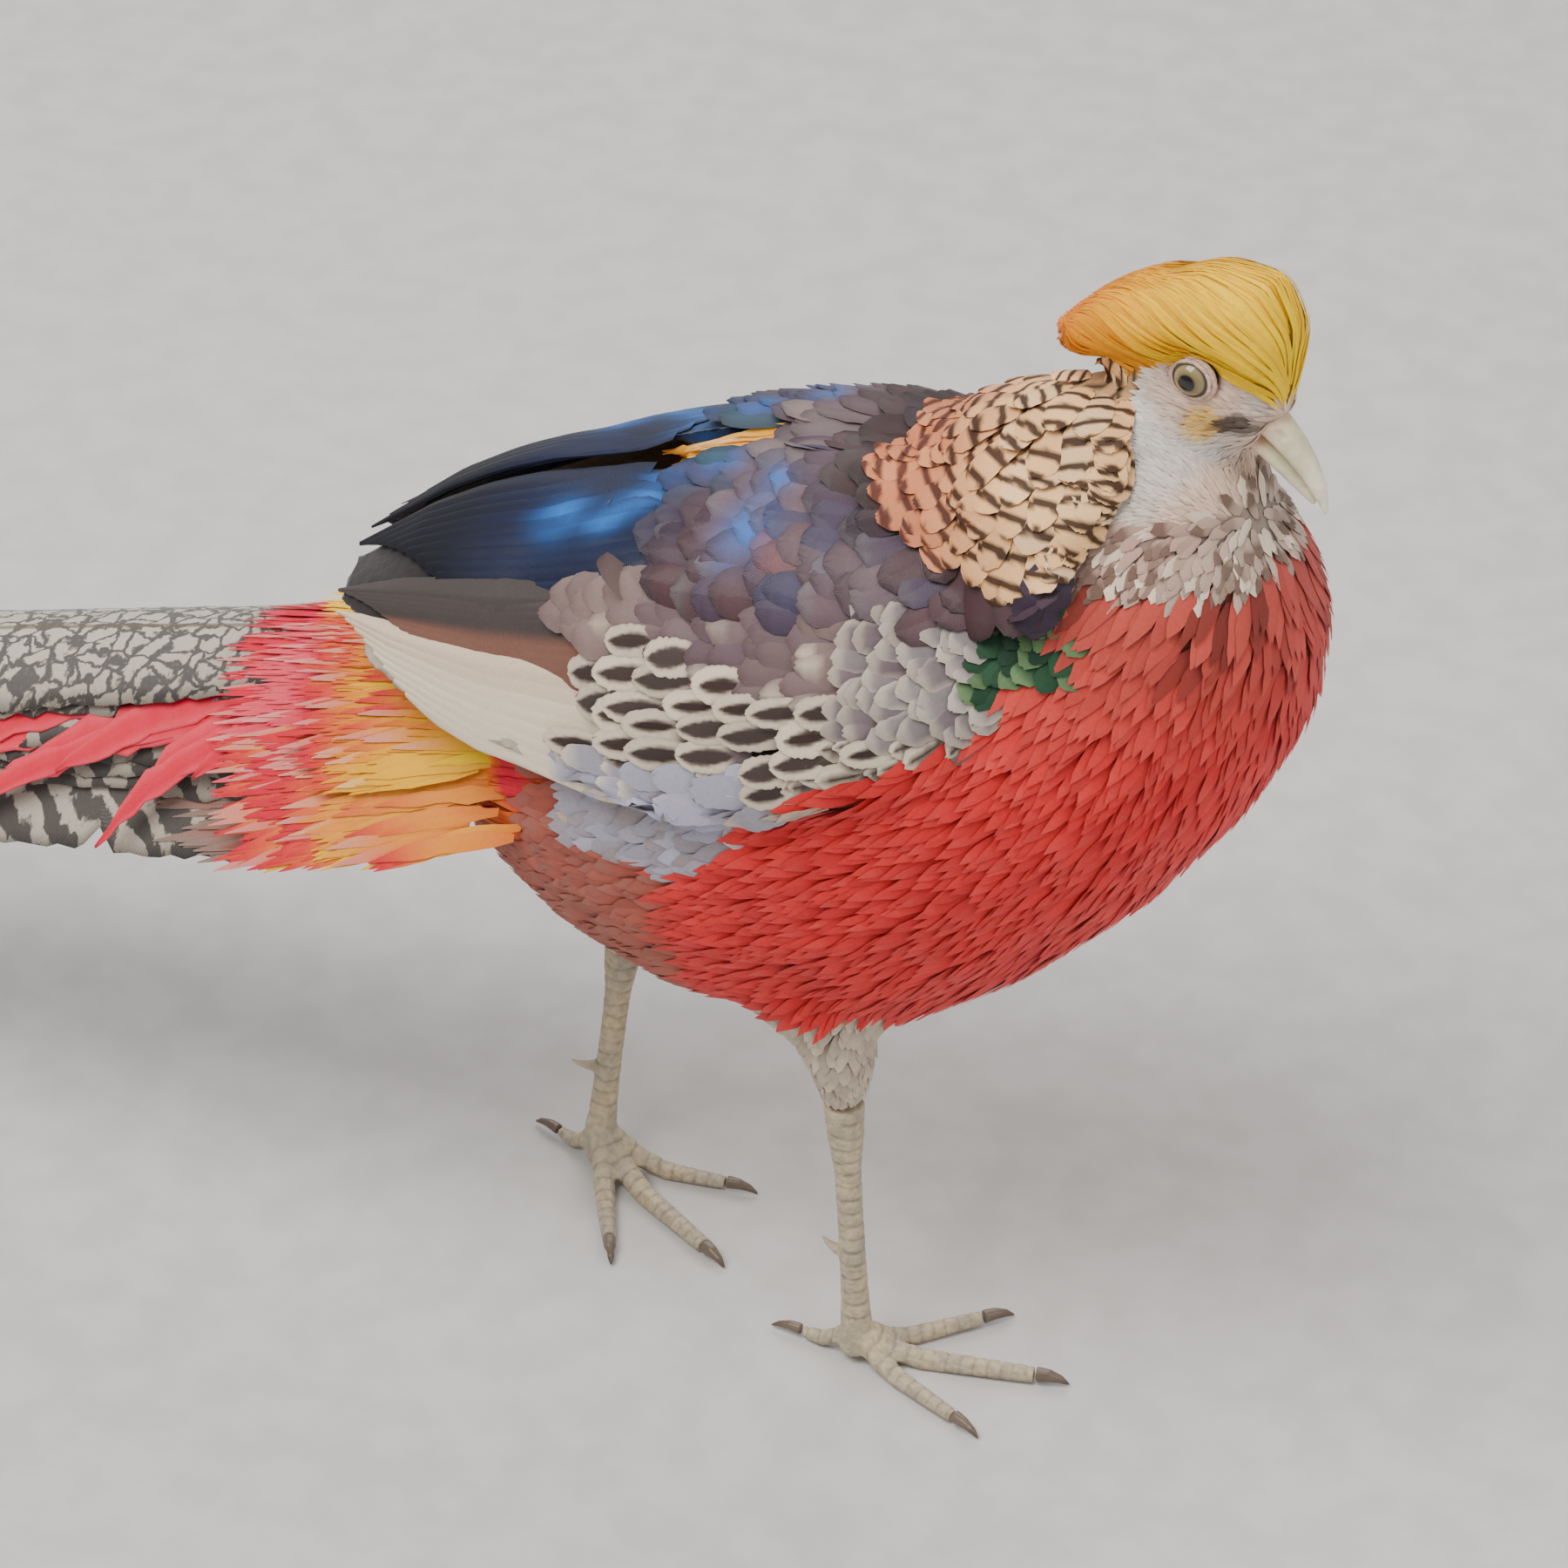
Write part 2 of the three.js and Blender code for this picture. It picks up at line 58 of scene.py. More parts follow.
SIDES = [("left", 1), ("right", -1)]
NAPE = np.array([90.0, 4.0, 291.0])
LIMBS = {
    "right": {"hock": (41, -29, 82), "foot": (45, -29, 9)},
    "left": {"hock": (-36, 24, 76), "foot": (-43, 21, 12)},
}

# The cape: its feathers spread from its centre, and its dark bars lie at even distances from it. Its front
# edge is given as x, z and slope.
CAPE_CENTRE = np.array([92.0, -2.0, 284.0])
CAPE_REACH = 42
CAPE_LENGTH = 19
CAPE_BAR = 5.6
CAPE_EDGE = (93, 250, 0.3)

# The folded wing's surface: rows of x, half width, top and bottom.
WING_ROWS = np.array([
    [-92, 24, 198, 190],
    [-72, 37, 214, 184],
    [-45, 49, 230, 180],
    [-10, 59, 247, 180],
    [28, 64, 258, 184],
    [62, 61, 258, 196],
    [84, 50, 248, 212],
    [92, 40, 240, 222],
], float)

# The ridge that the tail hangs from, as x and z.
TAIL_RIDGE = np.array([
    [-30, 181],
    [-62, 180],
    [-136, 165],
    [-200, 150],
    [-350, 113],
    [-500, 69],
    [-610, 32],
    [-690, 7.6],
    [-760, 1],
], float)

# Camera: the photograph's angle and framing.
CAMERA_AZIMUTH = 19
CAMERA_ELEVATION = 36
CAMERA_DISTANCE = 1300
CAMERA_TARGET = np.array([10.0, 16.0, 140.0])
PIXELS_PER_MM = 4.65
PHOTO_PIXELS = 1800
SENSOR = 36


def unit(v):
    return v / np.maximum(np.linalg.norm(v, axis=-1, keepdims=True), 1e-9)


def axes_of(yaw, pitch):
    """Forward, left and up of a part turned by a yaw and tipped down by a pitch, in degrees."""
    y, p = math.radians(yaw), math.radians(pitch)
    forward = np.array([math.cos(p) * math.cos(y), math.cos(p) * math.sin(y), -math.sin(p)])
    left = np.array([-math.sin(y), math.cos(y), 0])
    return forward, left, np.cross(forward, left)


FORWARD, LEFT, UP = axes_of(HEAD_YAW, HEAD_PITCH)


def node_centre(name):
    low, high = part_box(name)
    return np.array((low + high) / 2) * 1000


EYES = {name: node_centre("eye_" + name) for name, _ in SIDES}
SHIFT = (EYES["left"] + EYES["right"]) / 2 - (HEAD_AT + EYE_AHEAD * FORWARD + EYE_UP * UP)
SHIFT[1:] = 0
EYES = {name: centre - SHIFT for name, centre in EYES.items()}


def to_row(points):
    return (np.asarray(points, float) + SHIFT) / 1000


def to_bird(points):
    return np.asarray(points, float) * 1000 - SHIFT


# Colours: written as they look on screen, used as linear light.
def linear(rgb):
    c = np.asarray(rgb, float) / 255
    return np.where(c <= 0.04045, c / 12.92, ((c + 0.055) / 1.055) ** 2.4)


PAINT = {
    "scarlet": (212, 40, 40), "deep_red": (150, 16, 22), "pale_red": (232, 92, 84), "brick": (176, 84, 70),
    "orange": (206, 112, 58), "peach": (240, 188, 130), "bar": (44, 22, 14), "lemon": (255, 208, 0),
    "amber": (222, 124, 0), "pink": (230, 186, 156), "grey_face": (224, 223, 220),
    "buff_face": (214, 200, 184), "maroon": (74, 44, 44), "mauve": (98, 78, 84),
    "cape_back": (200, 120, 80), "moss": (112, 140, 92), "collar": (190, 170, 152), "mottle": (92, 70, 58),
    "blue_tint": (44, 52, 88), "scaly": (138, 130, 128), "green": (40, 78, 50), "blue": (10, 20, 52),
    "azure": (36, 104, 180), "teal": (20, 70, 78), "black": (14, 13, 17), "brown": (80, 70, 66),
    "rust": (132, 88, 72), "cream": (232, 214, 188), "buff": (214, 190, 164), "lavender": (182, 184, 204),
    "grey_brown": (142, 120, 108), "chestnut": (164, 80, 64), "gold": (246, 180, 50),
    "rump_orange": (222, 92, 30), "plume": (214, 34, 58), "plume_pale": (232, 84, 98),
    "thigh": (184, 168, 148), "tail": (168, 156, 140), "tail_pale": (198, 186, 168),
    "tail_dark": (84, 70, 58), "tail_mark": (30, 28, 28), "shaft": (96, 78, 60), "iris": (124, 108, 72),
    "iris_pale": (146, 130, 90), "iris_dark": (104, 80, 48), "pupil": (10, 8, 7), "lid": (200, 170, 152),
    "lid_rim": (70, 54, 46), "wattle": (244, 196, 96), "bill": (208, 198, 162), "bill_tip": (246, 234, 206),
    "leg": (196, 178, 142), "leg_grey": (160, 150, 132), "claw": (120, 104, 86),
}
PAINT = {name: linear(rgb) for name, rgb in PAINT.items()}


def mix(base, *layers):
    """Lays colours over a base in turn. Each layer is a colour, or the name of one, and then its share."""
    base = PAINT[base] if isinstance(base, str) else base
    for tone, share in zip(layers[::2], layers[1::2]):
        tone = PAINT[tone] if isinstance(tone, str) else tone
        share = np.clip(np.asarray(share, float), 0, 1)[..., None]
        base = base * (1 - share) + tone * share
    return base


def smooth(low, high, x):
    t = np.clip((np.asarray(x, float) - low) / (high - low), 0, 1)
    return t * t * (3 - 2 * t)


def cloud(points, size, seed=0):
    """Soft noise from -1 to 1 made of a few crossed waves, for patches of about the given size in mm."""
    p = np.asarray(points, float) / size
    total = 0
    for i in range(4):
        a = seed * 1.7 + i * 2.1
        way = np.array([math.sin(a * 1.3 + 1), math.cos(a * 2.1), math.sin(a * 0.7 + 2)])
        turn = np.array([math.cos(a), math.sin(a * 1.9), math.cos(a * 2.7)])
        total = total + np.sin(p @ way * 2.6 + 1.5 * np.sin(p @ turn * 1.9 + a) + a * 3)
    return total / 4


# The body's own map: where a point lies on the folded wing, from the back (0) round to its lower edge (1).
def wing_sizes(x):
    return [np.interp(x, WING_ROWS[:, 0], WING_ROWS[:, k]) for k in (1, 2, 3)]


def wing_round(points):
    wide, top, bottom = wing_sizes(points[..., 0])
    out, up = np.abs(points[..., 1]) / wide, (points[..., 2] - bottom) / (top - bottom)
    return np.arctan2(out, up) / (math.pi / 2)


def wing_place(x, b, side, over=0.0):
    wide, top, bottom = wing_sizes(x)
    angle = np.asarray(b) * math.pi / 2
    y = side * np.maximum(3.0, (wide + over) * np.sin(angle) ** 0.85)
    rise = np.maximum(np.cos(angle), 0) ** 0.95
    return np.stack([np.asarray(x, float) + 0 * y, y, bottom + (top - bottom + over) * rise], -1)


# The crest's solid, which marks where its feathers grow behind the eye.
CREST_CLOSE = 4.6
crest_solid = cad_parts["crest"]
CREST_TREE = BVHTree.FromPolygons(
    [to_bird(crest_solid.matrix_world @ v.co).tolist() for v in crest_solid.data.vertices],
    [list(face.vertices) for face in crest_solid.data.polygons],
)

# The upper edge of the barred coverts, as a place round the wing at x = 0 and its growth with x.
BAR_TOP = (0.585, 0.0028)

# The way round the wing from b = 0 to 1, in mm.
WING_ARC = 90

# Blue glints on the wing, painted highlights, as x, place round the wing, and size in mm.
GLINTS = [
    (-32, 0.26, 6), (-20, 0.29, 4), (-8, 0.16, 7), (-14, 0.24, 4), (5, 0.13, 5), (17, 0.35, 6), (20, 0.2, 4),
]


def glint(places):
    """How much each place belongs to a blue glint, a painted highlight."""
    x, b = places[..., 0], wing_round(places)
    spots = sum(
        np.exp(-((x - at) ** 2 + (WING_ARC * (b - turn)) ** 2) / size ** 2) for at, turn, size in GLINTS
    )
    return np.clip(spots * (1 + 0.5 * cloud(places, 5, 4)), 0, 1)


# The upper edge of the red on the flank, as a place round the wing by x.
RED_EDGE = np.array([
    [-30, 1.9], [0, 1.6], [8, 1.32], [18, 1.16], [37, 1.0],
    [57, 0.9], [78, 0.84], [86, 0.8], [94, 0.5], [100, 0.3],
])


def red_edge(x):
    return np.interp(x, RED_EDGE[:, 0], RED_EDGE[:, 1])


def past_cape(p):
    """How far ahead of the cape's front edge each place lies."""
    return p[:, 0] - (CAPE_EDGE[0] + CAPE_EDGE[2] * (p[:, 2] - CAPE_EDGE[1]))


def region_of(points):
    """The plumage region's name at each point of the skin."""
    p = np.asarray(points, float)
    jitter = cloud(p, 9, 3)
    x, y, z = p[:, 0] + 2.5 * jitter, p[:, 1], p[:, 2]
    b = wing_round(p) + 0.03 * cloud(p, 12, 5)
    name = np.full(len(p), "breast", dtype=object)

    def put(value, where):
        name[where] = value

    red = b > red_edge(x)
    put("vent", (x < 11) & (b > 1.05))
    put("vent", x < -58)
    put("orange", (x < -26) & (x > -48) & (b > 1.0) & (b < 1.4))
    put("rump", (x < -40) & (z > 138) & (b > 0.98))
    wing = ~red & (x > -95) & (x < 101) & (b < 1.18)
    barred = BAR_TOP[0] + BAR_TOP[1] * x
    put("mantle", wing & (x > -12) & (b >= 0.46))
    put("covert", wing & (x > -15) & (b >= barred))
    put("lavender", wing & (b > 0.86) & (x < 42) & (x > -12))
    put("greybrown", wing & (b > 1.0) & (x < 30) & (x > -14))
    put("primary", wing & (x <= -12) & (b > 0.68) & (b < 0.98))
    put("secondary", wing & (x <= -12) & (b >= 0.44) & (b <= 0.68))
    put("tertial", wing & (x <= 10) & (b < 0.44))
    put("scapular", wing & (x > 10) & (b < 0.5))
    put("scaly", wing & (x > 56) & (b >= 0.44) & (b < 0.8))
    put("gold", (np.abs(y) < 6) & (x < 26) & (z > 185) & (x > -14))
    put("wingtip", (x < -64) & (z > 184) & (np.abs(y) > 6) & (b < 0.7))
    put("green", (x > 79) & (b > 0.34) & (b < 0.68) & (x < 101) & (z > 226))
    from_head = p - HEAD_AT
    ahead, high = from_head @ FORWARD, from_head @ UP
    near_neck = np.linalg.norm(p - CAPE_CENTRE, axis=1) + 3 * cloud(p, 14, 9)
    before_cape = past_cape(p) > 0
    put("cape", (near_neck < CAPE_REACH) & (z > 250 + 0.72 * (p[:, 0] - 92)) & ~before_cape)
    put("collar", before_cape & (z > 254 + 2 * jitter))
    put("face", before_cape & (z > 265 + 2 * jitter))
    crest_line = 7.5 + 0.16 * np.minimum(ahead, 0) + 0.75 * np.minimum(ahead + 8, 0)
    crest_line -= 0.35 * np.maximum(ahead - 9, 0)
    near_crest = np.linalg.norm(from_head, axis=1) < 60
    put("crest", (high > crest_line) & (z > 262) & near_crest)
    near_crest &= ahead < -7
    if near_crest.any():
        found = [CREST_TREE.find_nearest(Vector(q))[3] for q in p[near_crest]]
        name[np.where(near_crest)[0][np.array(found) < CREST_CLOSE]] = "crest"
    leg = np.zeros(len(p), bool)
    for limb in LIMBS.values():
        hock = np.array(limb["hock"], float)
        leg |= (np.linalg.norm((p - hock)[:, :2], axis=1) < 24) & (z < hock[2] + 40)
    put("thigh", leg)
    return name


# The lie of the feathers: directions given at a few places, spread smoothly in between.
LIE = [
    ((152, 0, 225), (-0.1, 0, -1)),
    ((135, 38, 225), (-0.35, 0.3, -1)),
    ((128, 0, 165), (-0.8, 0, -1)),
    ((95, 45, 160), (-1, 0.1, -0.7)),
    ((70, 0, 105), (-1, 0, -0.2)),
    ((60, 55, 165), (-1, 0, -0.45)),
    ((20, 55, 140), (-1, 0, -0.35)),
    ((20, 0, 88), (-1, 0, 0.1)),
    ((-30, 35, 120), (-1, -0.1, -0.05)),
    ((-40, 0, 100), (-1, 0, 0.35)),
    ((-65, 20, 160), (-1, 0, -0.2)),
    ((-60, 0, 185), (-1, 0, -0.25)),
    ((98, 40, 240), (-0.7, 0.25, -1)),
    ((68, 0, 276), (-1, 0, -0.8)),
    ((84, 26, 266), (-0.8, 0.3, -0.8)),
    ((132, 0, 262), (-0.2, 0, -1)),
    ((112, 24, 268), (-0.4, 0.2, -1)),
    ((40, 0, 258), (-1, 0, -0.1)),
    ((41, 29, 96), (0.05, 0, -1)),
    ((-32, 26, 90), (-0.3, 0, -1)),
]


def lie_of(points, normals):
    """The direction that a feather points at each place, along the surface."""
    p = np.asarray(points, float)
    side = np.where(p[:, 1] < 0, -1.0, 1.0)
    mirror = np.stack([np.ones(len(p)), side, np.ones(len(p))], 1)
    way, weight = np.zeros_like(p), np.zeros(len(p))
    for place, direction in LIE:
        share = 1 / (np.sum((p - np.array(place, float) * mirror) ** 2, axis=1) + 60) ** 1.6
        way += share[:, None] * unit(np.array(direction, float)) * mirror
        weight += share
    way /= weight[:, None]
    b = wing_round(p)
    x = np.clip(p[:, 0], -90, 90)
    along = wing_place(x - 1, np.clip(b, 0, 1), side) - wing_place(x, np.clip(b, 0, 1), side)
    on_wing = smooth(1.1, 0.9, b) * smooth(80, 60, p[:, 0]) * smooth(-100, -90, p[:, 0])
    way = way * (1 - on_wing[:, None]) + unit(along) * on_wing[:, None]
    from_head = p - HEAD_AT
    behind = -FORWARD - 0.12 * UP
    cheek = -FORWARD - 0.75 * UP
    low = smooth(4, -14, from_head @ UP)
    headway = unit(behind) * (1 - low[:, None]) + unit(cheek) * low[:, None]
    at_head = smooth(46, 34, np.linalg.norm(from_head + 6 * UP + 6 * FORWARD, axis=1))
    at_head *= smooth(252, 262, p[:, 2])
    way = way * (1 - at_head[:, None]) + headway * at_head[:, None]
    from_cape = p - CAPE_CENTRE
    at_cape = smooth(74, 50, np.linalg.norm(from_cape, axis=1)) * smooth(6, -2, past_cape(p))
    at_cape *= smooth(0, -12, from_head @ UP + 10)
    way = way * (1 - at_cape[:, None]) + unit(from_cape) * at_cape[:, None]
    way -= np.sum(way * normals, axis=1)[:, None] * normals
    return unit(way)


# Materials.
def new_material(name, roughness=0.6, sheen=0.0, specular=0.4, coat=0.0):
    m = bpy.data.materials.new(name)
    m.use_nodes = True
    shader = m.node_tree.nodes["Principled BSDF"]
    shader.inputs["Roughness"].default_value = roughness
    shader.inputs["Specular IOR Level"].default_value = specular
    shader.inputs["Sheen Weight"].default_value = sheen
    shader.inputs["Coat Weight"].default_value = coat
    shader.inputs["Coat Roughness"].default_value = 0.08
    return m, shader


def node(m, kind, inputs=None, **settings):
    made = m.node_tree.nodes.new(kind)
    for key, value in settings.items():
        setattr(made, key, value)
    for key, value in (inputs or {}).items():
        if isinstance(value, bpy.types.NodeSocket):
            m.node_tree.links.new(value, made.inputs[key])
        else:
            made.inputs[key].default_value = value
    return made


def math_node(m, operation, a, b=0.0):
    return node(m, "ShaderNodeMath", {0: a, 1: b}, operation=operation).outputs[0]


def scaled(m, value, factor, shift=None):
    """A value times a factor, plus a shift if there is one."""
    made = math_node(m, "MULTIPLY", value, factor)
    return made if shift is None else math_node(m, "ADD", made, shift)


def vector_node(m, operation, a, b):
    return node(m, "ShaderNodeVectorMath", {0: a, 1: b}, operation=operation).outputs[0]


def noise(m, place, scale, detail, output="Fac"):
    return node(m, "ShaderNodeTexNoise", {"Vector": place, "Scale": scale, "Detail": detail}).outputs[output]


def map_of(m, name):
    return node(m, "ShaderNodeUVMap", uv_map=name).outputs["UV"]


def object_place(m):
    return node(m, "ShaderNodeTexCoord").outputs["Object"]


def split(m, vector):
    return node(m, "ShaderNodeSeparateXYZ", {0: vector}).outputs


def painted(m):
    """The piece's own colours."""
    return node(m, "ShaderNodeVertexColor", layer_name="Col").outputs["Color"]


def blend_node(m, kind, share, a, b):
    made = m.node_tree.nodes.new("ShaderNodeMix")
    made.data_type = "RGBA"
    made.blend_type = kind
    for socket, value in ((made.inputs["Factor"], share), (made.inputs["A"], a), (made.inputs["B"], b)):
        if isinstance(value, bpy.types.NodeSocket):
            m.node_tree.links.new(value, socket)
        elif socket.type == "RGBA":
            socket.default_value = (*value, 1)
        else:
            socket.default_value = value
    return made.outputs["Result"]


def ramp_node(m, value, stops, interpolation="EASE"):
    made = node(m, "ShaderNodeValToRGB", {"Fac": value})
    made.color_ramp.interpolation = interpolation
    elements = made.color_ramp.elements
    while len(elements) < len(stops):
        elements.new(0.5)
    for element, (position, colour) in zip(elements, stops):
        element.position = position
        element.color = (*colour, 1)
    return made.outputs["Color"]


def finish(m, shader, colour, shade, height, strength, depth):
    """Colours the shader, dimmed by a shade, and roughens it by a height."""
    if shade.type != "RGBA":
        shade = node(m, "ShaderNodeCombineColor", {0: shade, 1: shade, 2: shade}).outputs[0]
    m.node_tree.links.new(blend_node(m, "MULTIPLY", 1.0, colour, shade), shader.inputs["Base Color"])
    bump = node(m, "ShaderNodeBump", {"Height": height, "Strength": strength, "Distance": depth})
    m.node_tree.links.new(bump.outputs["Normal"], shader.inputs["Normal"])
    return m


def vane_material(name, roughness, sheen, specular, barbs, tint, gloss=0.0):
    """Feathers: the coat's own colours, with fine slanting barbs along each vane."""
    m, shader = new_material(name, roughness, sheen, specular, gloss)
    parts = split(m, map_of(m, "Vane"))
    across = math_node(m, "ABSOLUTE", math_node(m, "SUBTRACT", parts[0], 0.5))
    slant = math_node(m, "SUBTRACT", parts[1], scaled(m, across, 0.9))
    wave = math_node(m, "SINE", scaled(m, slant, barbs * 2 * math.pi))
    lines = scaled(m, wave, 0.25, noise(m, object_place(m), 900.0, 3.0))
    return finish(m, shader, painted(m), scaled(m, lines, tint * 2, 1 - tint), lines, 0.35, 0.0003)


def skin_material():
    m, shader = new_material("skin", 0.75, 0.2, 0.25)
    grain = noise(m, object_place(m), 420.0, 5.0)
    return finish(m, shader, painted(m), scaled(m, grain, 0.7, 0.45), grain, 0.6, 0.0006)


# Marks on the face, as distances ahead and up in the head: the wattle, and the corner of the mouth, painted
# dark as its shade.
WATTLE = (8.4, -6.0)
GAPE = (13.4, -2.4)


# Plain regions: the colours of a feather's root, middle and tip.
PLAIN = {
    "breast": ("deep_red", "scarlet", "pale_red"),
    "vent": ("maroon", "chestnut", "grey_brown"),
    "orange": ("brick", "rump_orange", "gold"),
    "rump": ("rump_orange", "gold", "lemon"),
    "gold": ("rump_orange", "gold", "cream"),
    "thigh": ("grey_brown", "thigh", "cream"),
}


def round_spot(x, b, at, turn, inner, outer):
    """A soft round spot on the wing, by x and place round the wing."""
    return smooth(outer, inner, np.hypot(x - at, WING_ARC * (b - turn)))


def paint_of(region, root, t, s, r, at=None):
    """Linear colours for vanes of a region. t and s run along and across a vane, root and r are each
    feather's own place and random number, and at has the vanes' places."""
    wide = root[..., None, None, :] * np.ones((*t.shape, 1))
    patch, fine = cloud(wide, 22, 2), cloud(wide, 7, 4)
    r = r[..., None, None] * np.ones(t.shape)
    x, b = wide[..., 0], wing_round(wide)
    edge = np.abs(s)
    at = wide if at is None else at
    ahead, high = (wide - HEAD_AT) @ FORWARD, (wide - HEAD_AT) @ UP
    if region in PLAIN:
        deep, mid, tip = PLAIN[region]
        top = mix(deep, mid, 0.5 + t * 0.8 + 0.2 * patch, tip, smooth(0.55, 1.0, t) * (0.08 + 0.4 * r * r))
        if region == "breast":
            spots = smooth(0.25, 0.6, fine) * smooth(226, 246, wide[..., 2]) * smooth(60, 84, x)
            return mix(
                top, "brick", smooth(205, 256, wide[..., 2]) * 0.7, "chestnut", smooth(18, 6, x) * 0.6,
                "bar", spots * 0.6,
            )
        if region in ("rump", "orange"):
            crimson = smooth(-0.1, 0.35, cloud(at, 11, 6)) * smooth(0.15, 0.5, t)
            return mix(top, "plume", crimson, "lemon", smooth(0.2, 0.6, cloud(at, 9, 2)) * 0.6)
        return top
    if region == "cape":
        front = smooth(52, 92, at[..., 0] + 0.25 * (at[..., 2] - 250))
        base = mix(
            "cape_back", "peach", front + 0.3 * (r - 0.5),
            "cream", smooth(0.5, 1, r) * 0.35 * smooth(75, 95, x),
        )
        away = (np.linalg.norm(wide - CAPE_CENTRE, axis=-1) + CAPE_LENGTH * t) / CAPE_BAR
        bars = smooth(0.3, 0.55, np.sin((away + 0.24 * r - 0.12 * edge ** 2) * 2 * math.pi))
        return mix(base, mix("bar", "brick", 0.14 * smooth(80, 60, x)), bars * smooth(0, 0.1, t) * 0.95)
    if region == "collar":
        return mix(
            "collar", "brick", 0.15 + 0.25 * patch,
            "mottle", smooth(0.3, 0.6, t) * smooth(0.35, 0.8, r + 0.5 * fine) * 0.8,
            "cream", (r < 0.16) * 0.8,
        )
    if region == "face":
        to_gape = (ahead - GAPE[0], high - GAPE[1])
        gape = np.hypot(0.7 * (to_gape[0] + to_gape[1]) / 4.4, 0.7 * (to_gape[0] - to_gape[1]) / 2.2)
        return mix(
            "grey_face", "buff_face", 0.5 + 0.5 * patch,
            "buff", smooth(-14, -26, high) * 0.35,
            "pink", np.maximum(smooth(13, 18, ahead), smooth(15, 8, np.hypot(ahead - 3, high))) * 0.65,
            "grey_brown", 0.1 * smooth(0.3, 0.0, t) + 0.1 * np.clip(fine, 0, 1),
            "wattle", smooth(4.6, 2.6, np.hypot(ahead - WATTLE[0], (high - WATTLE[1]) * 0.7)) * 0.8,
            # Painted shade in the corner of the mouth.
            "bar", smooth(1.15, 0.7, gape) * 0.85,
        )
    if region == "crest":
        return mix(
            # Amber gold, lighter lemon towards the front as a painted highlight, and orange behind.
            "amber", "lemon", smooth(-22, 16, ahead) * 0.9 + 0.25 * r - 0.1,
            "rump_orange", smooth(-8, -36, ahead) * 0.42,
            "amber", 0.3 * smooth(0.2, 1, t) * r,
        )
    if region == "scapular":
        return mix(
            "maroon", "mauve", 0.6 + 0.5 * patch + 0.4 * (r - 0.5),
            "blue_tint", smooth(0.2, 0.9, fine + 0.6 * r) * 0.6,
            "scaly", smooth(0.7, 1, t) * (r > 0.7) * 0.4,
            # Azure at the glints: painted highlight.
            "azure", glint(at) * (0.4 + 0.5 * r),
            "blue", smooth(26, 8, x) * smooth(0.5, 0.36, b) * 0.7,
            "teal", smooth(30, 18, x) * smooth(0.3, 0.15, b) * (r < 0.5) * 0.6,
            "bar", smooth(42, 54, x) * smooth(0.34, 0.16, b) * 0.85,
            "brick", round_spot(x, b, 41, 0.39, 3, 7) * 0.16,
            # A small cream spot: painted highlight.
            "cream", round_spot(x, b, 33, 0.09, 2, 7) * 0.14,
            "black", smooth(0.75, 1, t) * 0.35 + smooth(0.6, 1, edge) * 0.25,
        )
    if region == "scaly":
        return mix(
            "scaly", "mauve", 0.5 + 0.4 * patch + 0.6 * (r - 0.5),
            "maroon", smooth(0.5, 0.1, t) * 0.6,
            "cream", np.maximum(smooth(0.7, 0.95, t), smooth(0.55, 0.9, edge)) * 0.4,
        )
    if region == "green":
        return mix("green", "black", 0.3 + 0.4 * fine, "moss", smooth(0.5, 0.9, t) * (r > 0.55) * 0.7)
    if region == "tertial":
        return mix(
            "black", "blue", 0.55 + 0.5 * r + 0.2 * patch,
            "teal", smooth(4, 14, x) * (r < 0.4) * 0.5,
            # Azure at the glints: painted highlight.
            "azure", glint(at) * (0.35 + 0.6 * r) * smooth(1, 0.5, edge),
            "black", smooth(0.8, 1, t) * 0.3 + 0.3 * smooth(0.6, 1, edge),
        )
    if region == "mantle":
        spots = smooth(0.66, 0.8, t) * smooth(0.7, 0.3, edge) * (r > 0.82) * smooth(0.52, 0.6, b)
        return mix(
            "mauve", "grey_brown", 0.35 + 0.4 * patch + 0.3 * (r - 0.5),
            "maroon", smooth(0.4, 0.1, t) * 0.6, "cream", spots * 0.6, "maroon", smooth(0.8, 1, t) * 0.4,
        )
    if region == "covert":
        taper = np.clip(1 - ((t - 0.6 - 0.2 * s) / (0.3 + 0.1 * r)) ** 2, 0, 1)
        lens = smooth(-0.1, 0.16, (0.42 + 0.25 * r) * taper ** 0.7 - edge) * smooth(0, 0.3, taper)
        return mix(
            "cream", "grey_brown", 0.2 + 0.25 * r,
            "mauve", smooth(0.4, 0.2, t) * 0.9,
            "brown", smooth(0.86, 1, edge) * 0.25,
            mix("bar", "brown", 0.2 + 0.4 * r), lens,
            "buff", np.clip(smooth(0.92, 0.99, b) + smooth(-12, -22, x), 0, 1) * 0.7,
        )
    if region == "lavender":
        return mix("lavender", "grey_brown", 0.2 + 0.3 * r, "cream", smooth(0.7, 1, t) * (r > 0.6) * 0.8)
    if region == "greybrown":
        return mix("grey_brown", "lavender", 0.3 + 0.4 * r + 0.2 * fine)
    if region == "secondary":
        return mix(
            "brown", "black", 0.25 + 0.3 * r, "rust", smooth(0.585, 0.63, wing_round(at)) * 0.75
        )
    if region == "wingtip":
        return mix("black", "brown", 0.5 + 0 * t)
    if region == "primary":
        pale = smooth(0.7, 0.84, wing_round(at))
        return mix("buff", "cream", pale + 0.3 * (r - 0.5), "brown", smooth(0.72, 1, s) * 0.55)
    raise ValueError(region)


# Skin: copies of the flesh solids made one body, smoothed and drawn in by the depth of the coat.
FLESH = [
    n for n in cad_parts
    if n.startswith(("trunk", "neck", "head", "cape", "crest", "thigh", "wing", "tail_covert_under"))
]


# Grain of the remeshed pieces, in mm.
SKIN_VOXEL = 2.0
LEG_VOXEL = 0.7
BILL_VOXEL = 0.45
CLAW_VOXEL = 0.4


